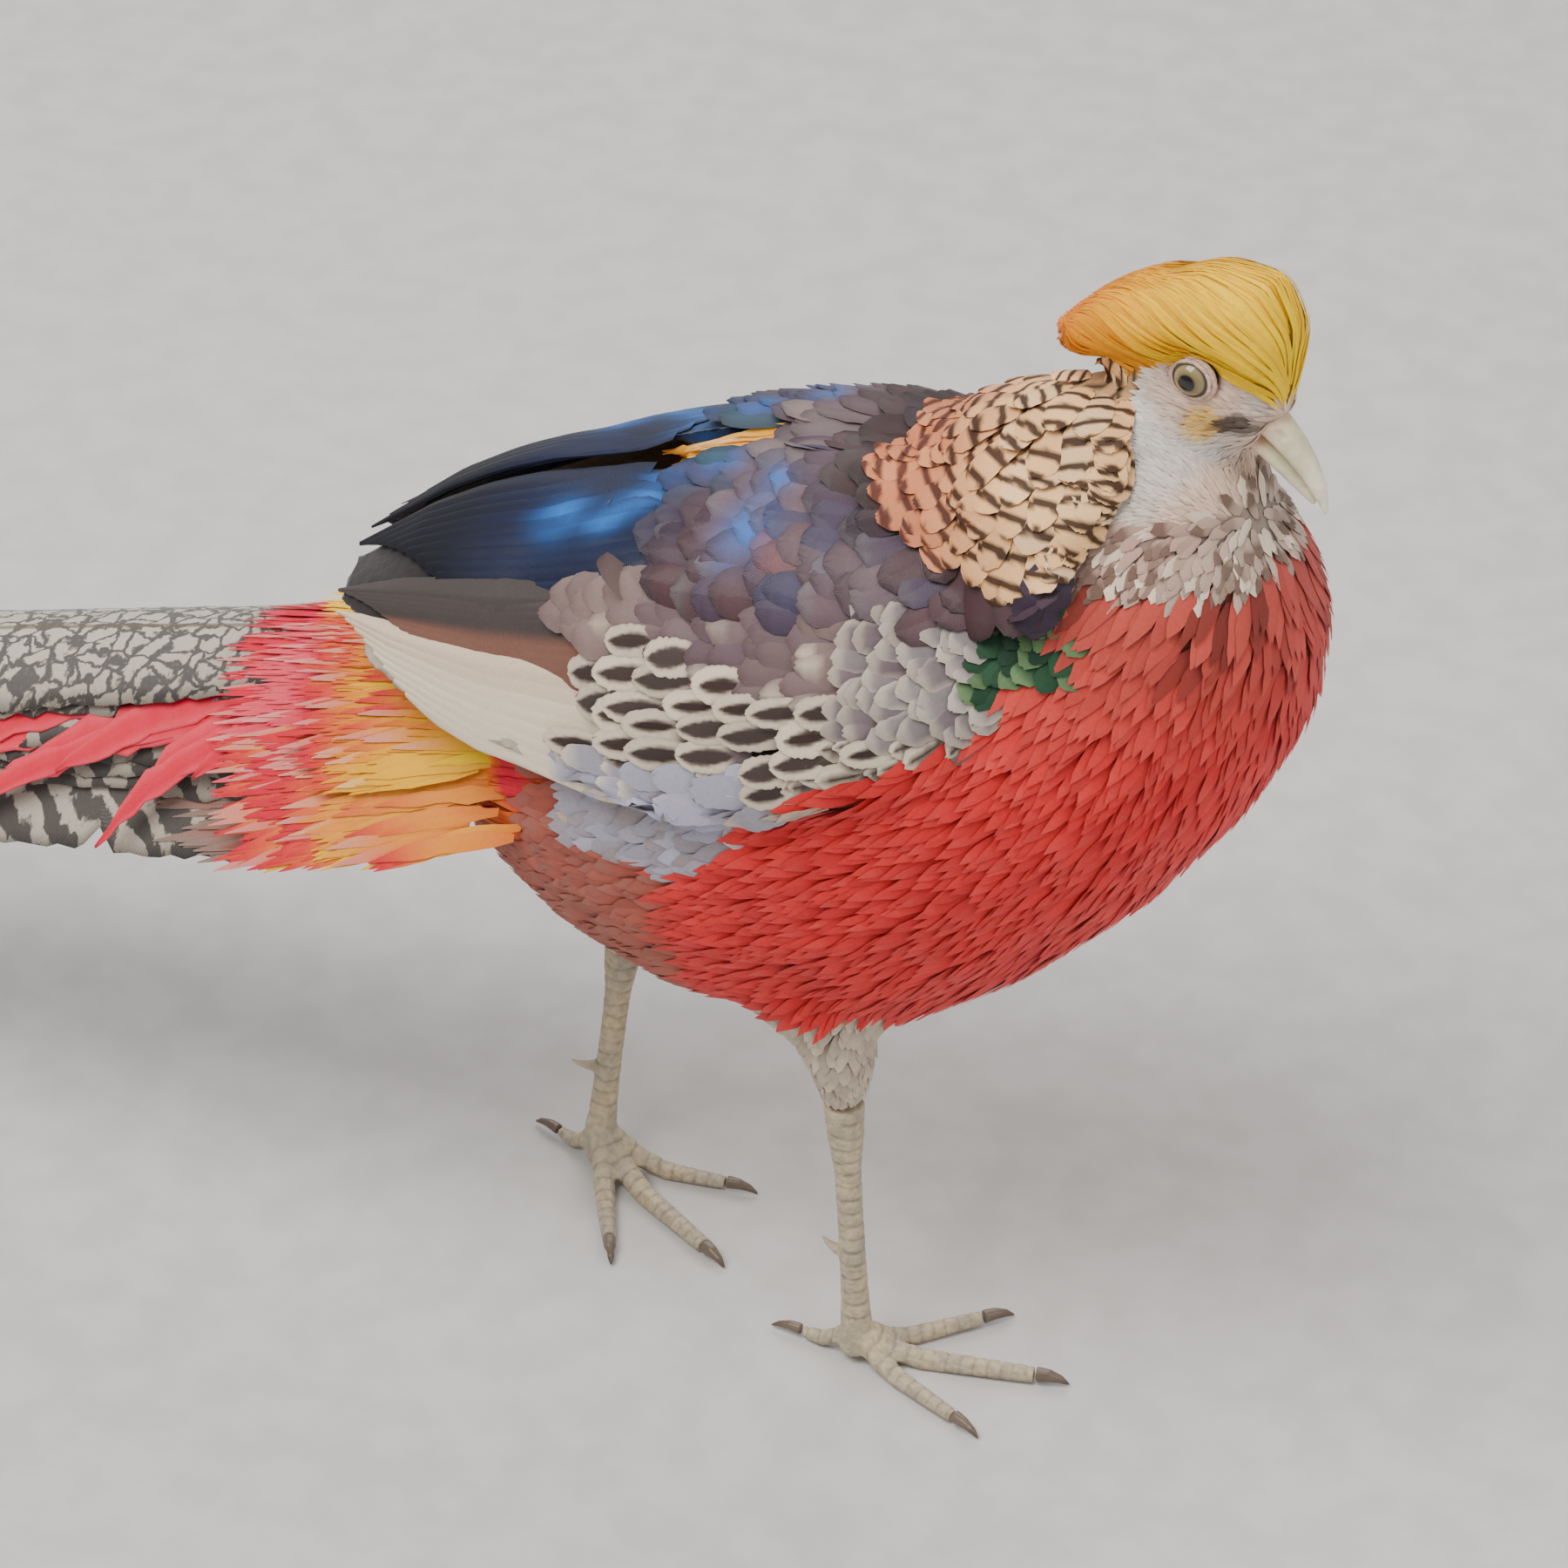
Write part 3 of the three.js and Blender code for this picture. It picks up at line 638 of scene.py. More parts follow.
def joined_copy(name, sources, voxel, rounds):
    """One closed mesh from copies of CAD nodes, remeshed and smoothed."""
    copies = []
    for source in sources:
        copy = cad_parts[source].copy()
        copy.data = copy.data.copy()
        copy.parent = None
        copy.matrix_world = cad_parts[source].matrix_world
        bpy.context.scene.collection.objects.link(copy)
        copies.append(copy)
    bpy.ops.object.select_all(action="DESELECT")
    for copy in copies:
        copy.select_set(True)
    made = copies[0]
    bpy.context.view_layer.objects.active = made
    if len(copies) > 1:
        bpy.ops.object.join()
    bpy.ops.object.transform_apply(location=True, rotation=True, scale=True)
    made.name = made.data.name = name
    made.data.materials.clear()
    for key in list(made.keys()):
        del made[key]
    remesh = made.modifiers.new("whole", "REMESH")
    remesh.mode = "VOXEL"
    remesh.voxel_size = voxel / 1000
    soften = made.modifiers.new("soften", "SMOOTH")
    soften.factor = 0.5
    soften.iterations = rounds
    for label in ("whole", "soften"):
        bpy.ops.object.modifier_apply(modifier=label)
    made.data.polygons.foreach_set("use_smooth", np.ones(len(made.data.polygons), bool))
    made.select_set(False)
    return made


def declare(made, slot, *replaced, material=None):
    """Says that a piece rides on the root, gives it its material, and hides the solids that it stands for.
    The slot is not used.
    """
    if material:
        made.data.materials.append(material)
    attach(made, "root")
    if replaced:
        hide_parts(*replaced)


def read(items, key, width, kind=float):
    """Values of a mesh's items as rows."""
    values = np.zeros(len(items) * width, kind)
    items.foreach_get(key, values)
    return values.reshape(-1, width)


def mesh_arrays(obj):
    vertices = obj.data.vertices
    return to_bird(read(vertices, "co", 3)), read(vertices, "normal", 3)


def write_places(obj, points):
    obj.data.vertices.foreach_set("co", to_row(points).ravel().astype(np.float32))
    obj.data.update()


def coat_depth(points):
    """How far the skin lies inside the solids, in mm."""
    p = np.asarray(points, float)
    deep = np.full(len(p), 3.2)
    at_head = smooth(44, 30, np.linalg.norm(p - HEAD_AT, axis=1))
    high = smooth(0, 8, (p - HEAD_AT) @ UP)
    deep = deep * (1 - at_head) + (1.0 + 1.6 * high) * at_head
    return np.where(p[:, 2] < 100, np.minimum(deep, 2.2), deep)


skin = joined_copy("skin", FLESH, SKIN_VOXEL, 12)
points, normals = mesh_arrays(skin)
write_places(skin, points - normals * coat_depth(points)[:, None])

# The skin's unwrap, which also gives every feather's root its place on the baked map.
bpy.ops.object.select_all(action="DESELECT")
skin.select_set(True)
bpy.context.view_layer.objects.active = skin
skin.data.uv_layers.new(name="OFBake")
bpy.ops.object.mode_set(mode="EDIT")
bpy.ops.mesh.select_all(action="SELECT")
bpy.ops.uv.smart_project(angle_limit=math.radians(66), island_margin=0.004, scale_to_bounds=True)
bpy.ops.object.mode_set(mode="OBJECT")
skin.select_set(False)

skin.data.calc_loop_triangles()
TRIS = read(skin.data.loop_triangles, "vertices", 3, int)
TRI_LOOPS = read(skin.data.loop_triangles, "loops", 3, int)
LOOP_UV = read(skin.data.uv_layers["OFBake"].data, "uv", 2)
SKIN, SKIN_NORMALS = mesh_arrays(skin)
CORNERS = SKIN[TRIS]
TRI_CROSS = np.cross(CORNERS[:, 1] - CORNERS[:, 0], CORNERS[:, 2] - CORNERS[:, 0])
TRI_AREA = np.linalg.norm(TRI_CROSS, axis=1) / 2
TRI_CENTRE = CORNERS.mean(1)
TRI_NORMAL = unit(SKIN_NORMALS[TRIS].sum(1))
TRI_LIE = lie_of(TRI_CENTRE, TRI_NORMAL)
TRI_REGION = region_of(TRI_CENTRE)
TREE = BVHTree.FromPolygons(SKIN.tolist(), TRIS.tolist())


def paint_skin():
    """The skin carries the coat's colours, a little darker as painted shade under the feathers, less so on
    the face and crest.
    """
    colours = np.zeros((len(SKIN), 4))
    colours[:, 3] = 1
    region = region_of(SKIN)
    for name in set(region):
        here = region == name
        t = np.full((here.sum(), 1, 1), 0.35)
        painted = paint_of(name, SKIN[here], t, t * 0, np.full(here.sum(), 0.5))
        # Painted shade: 0.7 of the coat's colours under the feathers, 0.95 on the face and crest.
        colours[here, :3] = painted[:, 0, 0] * (0.95 if name in ("face", "crest") else 0.7)
    layer = skin.data.color_attributes.new("Col", "FLOAT_COLOR", "POINT")
    layer.data.foreach_set("color", colours.ravel())


paint_skin()


# Feathers.
SHAPES = {
    "round": ([0, 0.2, 0.55, 0.8, 0.93, 1], [0.35, 0.8, 1, 0.93, 0.66, 0.22]),
    "point": ([0, 0.2, 0.45, 0.75, 1], [0.4, 0.85, 1, 0.68, 0.06]),
    "hair": ([0, 0.3, 0.7, 1], [0.6, 1, 0.75, 0.08]),
}


def roots_on(tri, place, weights):
    """Roots of feathers, each on a triangle of the skin, with their places on the unwrap."""
    return {
        "tri": tri,
        "place": place,
        "normal": TRI_NORMAL[tri],
        "uv": np.sum(LOOP_UV[TRI_LOOPS[tri]] * weights[..., None], 1),
        "region": TRI_REGION[tri],
        "r": rng.random(len(tri)),
    }


def scatter(regions, spacing, keep=0.72):
    """Roots on the skin of some regions, spread evenly."""
    chosen = np.where(np.isin(TRI_REGION, regions))[0]
    if len(chosen) == 0:
        raise ValueError(f"no skin in {regions}")
    area = TRI_AREA[chosen]
    count = int(area.sum() / spacing ** 2 * (4))
    picked = chosen[np.searchsorted(np.cumsum(area) / area.sum(), rng.random(count)).clip(0, len(chosen) - 1)]
    u, v = rng.random(count), rng.random(count)
    over = u + v > 1
    u[over], v[over] = 1 - u[over], 1 - v[over]
    weights = np.stack([1 - u - v, u, v], 1)
    places = np.sum(CORNERS[picked] * weights[..., None], 1)
    cells = np.floor(places / spacing).astype(int)
    taken, kept = {}, []
    near = [(i, j, k) for i in (-1, 0, 1) for j in (-1, 0, 1) for k in (-1, 0, 1)]
    limit = (keep * spacing) ** 2
    for i in range(count):
        cx, cy, cz = cells[i]
        others = (taken.get((cx + dx, cy + dy, cz + dz)) for dx, dy, dz in near)
        if all(j is None or ((places[j] - places[i]) ** 2).sum() >= limit for j in others):
            taken[(cx, cy, cz)] = i
            kept.append(i)
    return roots_on(picked[kept], places[kept], weights[kept])


def roots_at(places):
    """Roots on the skin nearest to some places."""
    found = [TREE.find_nearest(Vector(q)) for q in places]
    tri = np.array([f[2] for f in found])
    place = np.array([f[0] for f in found])
    a, b, c = CORNERS[tri].transpose(1, 0, 2)
    whole = np.cross(b - a, c - a)
    area = np.sum(whole * whole, axis=1)
    v = np.sum(np.cross(place - a, c - a) * whole, axis=1) / area
    w = np.sum(np.cross(b - a, place - a) * whole, axis=1) / area
    return roots_on(tri, place, np.stack([1 - v - w, v, w], 1))


def follow(place, normal, way, length, steps, loose):
    """Centre lines that run along the skin from their roots. Past the body's edge they run straight on."""
    path, ups, ways = [place], [normal], [way]
    step = (length / steps)[:, None]
    for _ in range(steps):
        ahead = path[-1] + ways[-1] * step
        found = [TREE.find_nearest(Vector(q)) for q in ahead]
        on = np.array([f[0] for f in found])
        tri = np.array([f[2] for f in found])
        near = np.linalg.norm(on - ahead, axis=1) < loose
        turn = unit(0.6 * ups[-1] + 0.4 * TRI_NORMAL[tri])
        up = np.where(near[:, None], turn, ups[-1])
        place = np.where(near[:, None], on, ahead)
        drift = np.where(near[:, None], 0.65 * ways[-1] + 0.35 * TRI_LIE[tri], ways[-1])
        drift = unit(drift - np.sum(drift * up, 1)[:, None] * up)
        path.append(place)
        ups.append(up)
        ways.append(drift)
    return np.stack(path, 1), np.stack(ups, 1), np.stack(ways, 1)


def sheet_mesh(name, grid, vane_uv, bake_uv, colours, material, slot):
    """One joined mesh from many small grids of points: [feather, row, column, xyz]. A map has a value for
    each point, or for each face's corners."""
    count, rows, columns = grid.shape[:3]
    index = np.arange(count * rows * columns).reshape(count, rows, columns)
    quads = [index[:, :-1, :-1], index[:, :-1, 1:], index[:, 1:, 1:], index[:, 1:, :-1]]
    quads = np.stack(quads, -1).reshape(-1, 4)
    mesh = bpy.data.meshes.new(name)
    mesh.vertices.add(index.size)
    mesh.vertices.foreach_set("co", to_row(grid.reshape(-1, 3)).ravel().astype(np.float32))
    mesh.loops.add(quads.size)
    mesh.loops.foreach_set("vertex_index", quads.ravel())
    mesh.polygons.add(len(quads))
    mesh.polygons.foreach_set("loop_start", np.arange(0, quads.size, 4))
    mesh.polygons.foreach_set("use_smooth", np.ones(len(quads), bool))
    mesh.update(calc_edges=True)
    for layer_name, values in (("OFBake", bake_uv.reshape(-1, 2)), ("Vane", vane_uv.reshape(-1, 2))):
        if len(values) != quads.size:
            values = values[quads.ravel()]
        mesh.uv_layers.new(name=layer_name).data.foreach_set("uv", values.ravel())
    rgba = np.ones((index.size, 4))
    rgba[:, :3] = np.clip(colours.reshape(-1, 3), 0, 1)
    mesh.color_attributes.new("Col", "FLOAT_COLOR", "POINT").data.foreach_set("color", rgba.ravel())
    made = bpy.data.objects.new(name, mesh)
    bpy.context.scene.collection.objects.link(made)
    declare(made, slot, material=material)
    return made


def vane_axes(shape):
    """How far along a vane (0 to 1) and across it (-1 to 1) each point of some grids lies."""
    along, across = np.linspace(0, 1, shape[1]), np.linspace(-1, 1, shape[2])
    return np.broadcast_to(along[:, None], shape), np.broadcast_to(across, shape)


def cell_map(along, across, margin):
    """A baked map with a cell of its own for each feather."""
    count = len(along)
    cells = math.ceil(math.sqrt(count))
    index = np.arange(count)
    cell = np.stack([index % cells, index // cells], -1)[:, None, None] + margin
    return (cell + (1 - 2 * margin) * np.stack([across * 0.5 + 0.5, along], -1)) / cells


def vanes(path, ups, ways, half, shape, columns, camber, fray, rise):
    """Grids for feathers from centre lines: half widths by shape, hollow below, ragged at the rim."""
    count, rows = path.shape[:2]
    t = np.linspace(0, 1, rows)
    s = np.linspace(-1, 1, columns)
    wide = np.interp(t, *SHAPES[shape])[None, :, None] * half[:, None, None]
    rim = 1 + fray * (rng.random((count, rows, 2)) - 0.6) * smooth(0.15, 0.6, t)[None, :, None]
    side_rim = np.where(s[None, None, :] < 0, rim[..., :1], rim[..., 1:])
    across = s[None, None, :] * wide * side_rim
    side = unit(np.cross(ups, ways))
    height = rise * half[:, None, None] * (t ** 1.5)[None, :, None] - camber * wide * (s ** 2)[None, None, :]
    reach = fray * half[:, None, None] * (rng.random((count, rows, columns)) - 0.3)
    reach *= smooth(0.5, 1, t)[None, :, None]
    return (
        path[:, :, None] + side[:, :, None] * across[..., None] + ups[:, :, None] * height[..., None]
        + ways[:, :, None] * reach[..., None]
    )


def coat(name, spacing, length, width, kind, shape="round", steps=6, columns=3, slot=None, regions=None,
         camber=0.16, fray=0.25, rise=0.12, lift=2.4, wander=0.16, under=0.3, loose=5.0, within=None,
         scale=None, roots=None):
    """Lays feathers over the skin of some regions, each over the roots of those behind it. Their roots stand
    under the coat and their tips are lifted, by a length or by a function of places. A feather that finds no
    skin within the loose distance runs straight on."""
    roots = roots or scatter(regions or [name], spacing)
    if within:
        kept = within(roots["place"])
        roots = {key: values[kept] for key, values in roots.items()}
    count = len(roots["r"])
    way = TRI_LIE[roots["tri"]]
    side = np.cross(roots["normal"], way)
    way = unit(way + side * (wander * rng.standard_normal(count))[:, None])
    long = length * (0.82 + 0.36 * rng.random(count))
    if scale:
        long = long * scale(roots["place"])
    path, ups, ways = follow(roots["place"], roots["normal"], way, long, steps, loose)
    t = np.linspace(0, 1, steps + 1)
    high = lift(roots["place"])[:, None] if callable(lift) else np.full((count, 1), lift)
    over = under + (high - under) * t[None] ** 0.8
    path = path + ups * over[..., None]
    half = width / 2 * (0.85 + 0.3 * rng.random(count))
    grid = vanes(path, ups, ways, half, shape, columns, camber, fray, rise)
    along, across = vane_axes(grid.shape[:3])
    colours = np.zeros(grid.shape)
    for region in set(roots["region"]):
        here = roots["region"] == region
        place, number = roots["place"][here], roots["r"][here]
        colours[here] = paint_of(region, place, along[here], across[here], number, grid[here])
    colours *= (0.86 + 0.28 * rng.random(count))[:, None, None, None]
    vane_uv = np.stack([across * 0.5 + 0.5, along * (long / 10)[:, None, None]], -1)
    bake_uv = roots["uv"][:, None, None] + np.stack([across * 0.5, along - 0.5], -1) * BAKE_PATCH
    return sheet_mesh("coat_" + name, grid, vane_uv, bake_uv, colours, FEATHER[kind], slot or name)


# The size of a small feather's patch on the baked map, and a long feather's thickness in m.
BAKE_PATCH = 0.003
VANE_WALL = 0.0005

FEATHER = {
    "soft": vane_material("feather_soft", 0.66, 0.08, 0.2, 22, 0.14),
    "down": vane_material("feather_down", 0.8, 0.1, 0.1, 12, 0.06),
    "silk": vane_material("feather_silk", 0.56, 0.0, 0.2, 18, 0.1),
    "firm": vane_material("feather_firm", 0.56, 0.04, 0.25, 24, 0.1),
    "sheen": vane_material("feather_sheen", 0.46, 0.0, 0.25, 24, 0.1, 0.06),
}

# Pieces of the coat: spacing, length and width of a feather in mm, then its kind and shape.
coat(
    "breast", 3.5, 15, 4.6, "soft", "point", 5, fray=0.4, lift=2.2, camber=0.1,
    within=lambda p: (p[:, 0] > -20) | (p[:, 2] < 165),
)
coat("vent", 3.8, 16, 5.2, "soft", regions=["vent", "greybrown"], fray=0.6, lift=2.2)
coat("thigh", 2.6, 9, 3.2, "soft", "round", 5, lift=1.4, fray=0.6)
coat("rump", 2.6, 24, 2.8, "silk", "hair", 8, regions=["rump", "orange"], fray=0.6, lift=2.4)
coat(
    "cape", 5.0, CAPE_LENGTH, 9.5, "silk", "round", 22, 7, fray=0.08, loose=1.6, wander=0.08, lift=3.2,
    scale=lambda p: (1 - 0.35 * smooth(-14, -2, past_cape(p)))
    * (1 - 0.5 * smooth(20, 8, np.linalg.norm(p - NAPE, axis=1))),
)
coat("collar", 2.3, 7, 2.8, "down", "round", 5, slot="breast", fray=0.6, lift=1.2, wander=0.3)
coat("face", 1.2, 4.4, 1.4, "down", "hair", 4, fray=0.4, lift=0.55, under=0.1)
coat(
    "crest", 1.6, 30, 1.5, "silk", "hair", 10, fray=0.2, lift=2.8, wander=0.06,
    scale=lambda p: 1 - 0.86 * smooth(-8, -35, (p - HEAD_AT) @ FORWARD),
)
coat("green", 4.0, 10, 7, "soft", "round", 6, 5, slot="scapular", fray=0.2, lift=2.2, wander=0.2)
coat(
    "back", 6.0, 19, 12, "sheen", "round", 8, 5, slot="scapular", regions=["scapular"], fray=0.12, lift=2.8,
    wander=0.1, loose=1.2, within=lambda p: (p[:, 0] > 30) | (np.abs(p[:, 1]) > 8),
)
coat("scaly", 4.4, 13, 8, "firm", "round", 8, 5, slot="scapular", fray=0.2)
coat(
    "mantle", 5.2, 16, 9.5, "firm", "round", 8, 5, slot="covert", fray=0.14, wander=0.08, rise=0.04,
    loose=1.0, lift=lambda p: 2.0 + 2.8 * smooth(10, -6, p[:, 0]),
)
coat(
    "tertial", 6.6, 15, 12, "sheen", "round", 8, 5, fray=0.06, rise=0.02, lift=2.6, wander=0.03, loose=1.0,
    within=lambda p: (p[:, 0] > 7) & (np.abs(p[:, 1]) > 9),
)

# Barred coverts stand in slanting rows on the wing, so that their marks make a net. The row and the step are
# their spacing round and along the wing, and the arc is the way round it, in mm.
COVERT_ROW = 5.5
COVERT_STEP = 11.5
COVERT_ARC = 94


def covert_places():
    """Places for the barred coverts' roots, in rows along the wing."""
    places = []
    for _, side in SIDES:
        for i, b in enumerate(np.arange(0.5, 0.99, COVERT_ROW / COVERT_ARC)):
            for x in np.arange(-5, 78, COVERT_STEP) + COVERT_STEP * 0.37 * (i % 3):
                jitter = rng.normal(0, 0.9, 2)
                round_at = np.clip(b + jitter[1] / COVERT_ARC, 0, 0.995)
                low = red_edge(x - 4) - 0.04
                if BAR_TOP[0] + BAR_TOP[1] * x - 0.02 < round_at < low:
                    places.append(wing_place(np.array(x + jitter[0]), round_at, side))
    return np.array(places)


covert_roots = roots_at(covert_places())
kept = np.isin(covert_roots["region"], ["covert", "lavender", "mantle"])
covert_roots = {key: values[kept] for key, values in covert_roots.items()}
covert_roots["region"] = np.where(covert_roots["region"] == "mantle", "covert", covert_roots["region"])
coat(
    "wing", 0, 18, 8.6, "soft", "round", 24, 13, slot="covert", fray=0.14, lift=3.4, wander=0.08, rise=0.0,
    camber=0.04, roots=covert_roots,
)
coat(
    "wing_edge", 4.2, 12, 7, "soft", "round", 8, 5, slot="covert", regions=["covert", "lavender"], fray=0.3,
    lift=1.8, loose=1.4, within=lambda p: wing_round(p) > np.minimum(0.87, red_edge(p[:, 0]) - 0.1),
)
coat("gold", 2.6, 24, 2.6, "silk", "hair", 8, slot="rump", fray=0.4, lift=4.4, wander=0.03)


# Flight feathers: long vanes laid on the wing in rows. Rows are name, slot, count, the first and last roots
# and tips as x and place round the wing, width, and height over the skin. They start at the skin's depth and
# reach the wing's own surface at their tips. The arc is the way round the wing, in mm.
FLIGHT_DEPTH = 2.9
FLIGHT_ARC = 95
FLIGHT = [
    ("primaries", "primary", 8, (4, 1.02), (-2, 0.72), (-66, 0.94), (-90, 0.68), 13, 0.3),
    ("secondaries", "secondary", 9, (12, 0.68), (-6, 0.5), (-66, 0.66), (-91, 0.48), 14, 1.4),
    ("tertials", "tertial", 11, (14, 0.48), (-14, 0.08), (-54, 0.5), (-92, 0.06), 22, 2.0),
]


def flight_feathers(name, region, count, root0, root1, tip0, tip1, width, over):
    rows, columns = 26, 11
    t = np.linspace(0, 1, rows)
    s = np.linspace(-1, 1, columns)
    grids, roots, number = [], [], []
    for _, side in SIDES:
        for i in range(count):
            root, tip = [
                np.array(first) * (1 - i / (count - 1)) + np.array(last) * (i / (count - 1))
                for first, last in ((root0, root1), (tip0, tip1))
            ]
            x, b = root[:, None] * (1 - t) + tip[:, None] * t
            half = np.interp(t, *SHAPES["round"]) * width / 2
            rim = 1 + 0.10 * (rng.random((rows, 1)) - 0.5)
            height = (over + 0.2 * i) * smooth(0, 0.4, t)[:, None] - 0.05 * half[:, None] * s[None] ** 2
            across = s[None] * (half[:, None] * rim) / FLIGHT_ARC
            xs = np.broadcast_to(x[:, None], (rows, columns))
            depth = FLIGHT_DEPTH * smooth(-62, -34, xs)
            grid = wing_place(xs, np.clip(b[:, None] + across, 0.02, 1.1), side, height - depth)
            lean = 0.25 * np.abs(s)[None] * half[:, None]
            grid[..., 0] += lean * smooth(0, 0.3, t)[:, None]
            grids.append(grid)
            roots.append(grid[rows // 3, columns // 2])
            number.append(rng.random())
    grid = np.stack(grids)
    along, across = vane_axes(grid.shape[:3])
    colours = paint_of(region, np.array(roots), along, across, np.array(number), grid)
    if region == "tertial":
        colours = mix(colours, "black", smooth(-40, -66, grid[..., 0]) * 0.85)
    vane_uv = np.stack([across * 0.5 + 0.5, along * 7], -1)
    kind = FEATHER["sheen"] if region == "tertial" else FEATHER["firm"]
    return sheet_mesh("feathers_" + name, grid, vane_uv, cell_map(along, across, 0.05), colours, kind, region)


for row in FLIGHT:
    flight_feathers(*row)


# Tail: every feather hangs from one drooping ridge, so that together they make a roof: its vault falls with
# the square of y and flattens towards the tip, and layers lie at even steps below it.
TAIL_LAYER = 2.1
TAIL_VAULT = 0.019
TAIL_FLATTEN = 0.55
TAIL_START = 43
TAIL_LENGTH = 700
TAIL_WIDTH = 50
LONG_BLADE = ([0, 0.1, 0.3, 0.6, 0.85, 0.97, 1], [0.55, 0.9, 1, 0.84, 0.52, 0.22, 0.06])


def ridge_line():
    """The ridge as a fine line: arc lengths and places, by cubic pieces through the given points."""
    lengths = np.concatenate([[0], np.cumsum(np.linalg.norm(np.diff(TAIL_RIDGE, axis=0), axis=1))])
    slopes = np.gradient(TAIL_RIDGE, lengths, axis=0)
    fine = np.linspace(0, lengths[-1], 800)
    piece = np.clip(np.searchsorted(lengths, fine) - 1, 0, len(lengths) - 2)
    gap = lengths[piece + 1] - lengths[piece]
    t = ((fine - lengths[piece]) / gap)[:, None]
    gap = gap[:, None]
    places = (
        (2 * t ** 3 - 3 * t ** 2 + 1) * TAIL_RIDGE[piece] + (t ** 3 - 2 * t ** 2 + t) * gap * slopes[piece]
        + (3 * t ** 2 - 2 * t ** 3) * TAIL_RIDGE[piece + 1] + (t ** 3 - t ** 2) * gap * slopes[piece + 1]
    )
    return fine, places


RIDGE_AT, RIDGE = ridge_line()
RIDGE_LENGTH = RIDGE_AT[-1]
RIDGE_SLOPE = unit(np.gradient(RIDGE, RIDGE_AT, axis=0))


def roof(distance, y, layer, over=0.0):
    """A place on the tail's roof: a distance along the ridge, y to the left, and a layer down."""
    u = distance / RIDGE_LENGTH
    x, z, along_x, along_z = [np.interp(distance, RIDGE_AT, v) for v in (*RIDGE.T, *RIDGE_SLOPE.T)]
    drop = TAIL_VAULT * (1 - TAIL_FLATTEN * u) * y * y + layer * TAIL_LAYER * (1 - 0.3 * u) - over
    return np.stack([x - along_z * drop, y + 0 * x, np.maximum(z + along_x * drop, 0.4)], -1)


def tail_paint(t, s, kind):
    """Ground colour of a tail feather, darker along the shaft and at the rim."""
    return mix(
        "tail", "tail_pale", 0.45 + 0.35 * np.sin(t * 9 + s * 2) - 0.3 * (kind == "barred"),
        "tail_dark", smooth(0.75, 1.0, np.abs(s)) * 0.5, "tail_dark", smooth(0.1, 0.0, t) * 0.5,
    )


def marbled_material(name, bars):
    """A pale ground with black netting, or slanting bars, drawn along the feather's own map, in cm."""
    m, shader = new_material(name, 0.5, 0.15, 0.35)
    uv = map_of(m, "Vane")
    warp = vector_node(m, "MULTIPLY", noise(m, uv, 1.7, 3.0, "Color"), (0.9, 0.9, 0.0))
    place = vector_node(m, "ADD", uv, warp)
    stretch = vector_node(m, "MULTIPLY", place, (1.0, 0.72, 1.0))
    cells = node(m, "ShaderNodeTexVoronoi", {"Vector": stretch, "Scale": 2.1}, feature="DISTANCE_TO_EDGE")
    net = cells.outputs[0]
    speckle = noise(m, uv, 9.0, 4.0)
    if bars:
        parts = split(m, place)
        wave = math_node(m, "SINE", scaled(m, math_node(m, "SUBTRACT", parts[1], parts[0]), 5.2))
        net = scaled(m, wave, 0.16, scaled(m, net, 0.55))
    edge = math_node(m, "ADD", net, scaled(m, math_node(m, "SUBTRACT", speckle, 0.5), 0.22))
    dark = ramp_node(m, edge, [(0.06, (1, 1, 1)), (0.15, (0, 0, 0))])
    marked = blend_node(m, "MIX", scaled(m, dark, 0.86), painted(m), tuple(PAINT["tail_mark"]))
    straight = split(m, uv)
    out = math_node(m, "ABSOLUTE", straight[0])
    shaft = ramp_node(m, out, [(0.05, (1, 1, 1)), (0.11, (0, 0, 0))])
    marked = blend_node(m, "MIX", scaled(m, shaft, 0.75), marked, tuple(PAINT["shaft"]))
    barbs = math_node(m, "SINE", scaled(m, math_node(m, "SUBTRACT", straight[1], out), 75.0))
    lines = scaled(m, barbs, 0.3, speckle)
    return finish(m, shader, marked, scaled(m, lines, 0.3, 0.8), lines, 0.4, 0.0004)


FEATHER["marbled"] = marbled_material("feather_marbled", False)
FEATHER["barred"] = marbled_material("feather_barred", True)


def strip_map(rows, columns, strips):
    """A long feather's baked map, for each face's corners: strips of it side by side, so that it fills its
    picture."""
    per = (rows - 1) // strips
    row, column = np.arange(rows - 1), np.arange(columns - 1)
    corner_row = np.stack([row, row, row + 1, row + 1], -1) - (row // per * per)[:, None]
    corner_column = np.stack([column, column + 1, column + 1, column], -1) / (columns - 1)
    across = np.broadcast_to((row // per)[:, None, None], (rows - 1, columns - 1, 4))
    across = across + 0.03 + 0.94 * corner_column[None]
    down = np.broadcast_to(0.02 + 0.96 * corner_row[:, None, :] / per, across.shape)
    return np.stack([across / strips, down], -1)


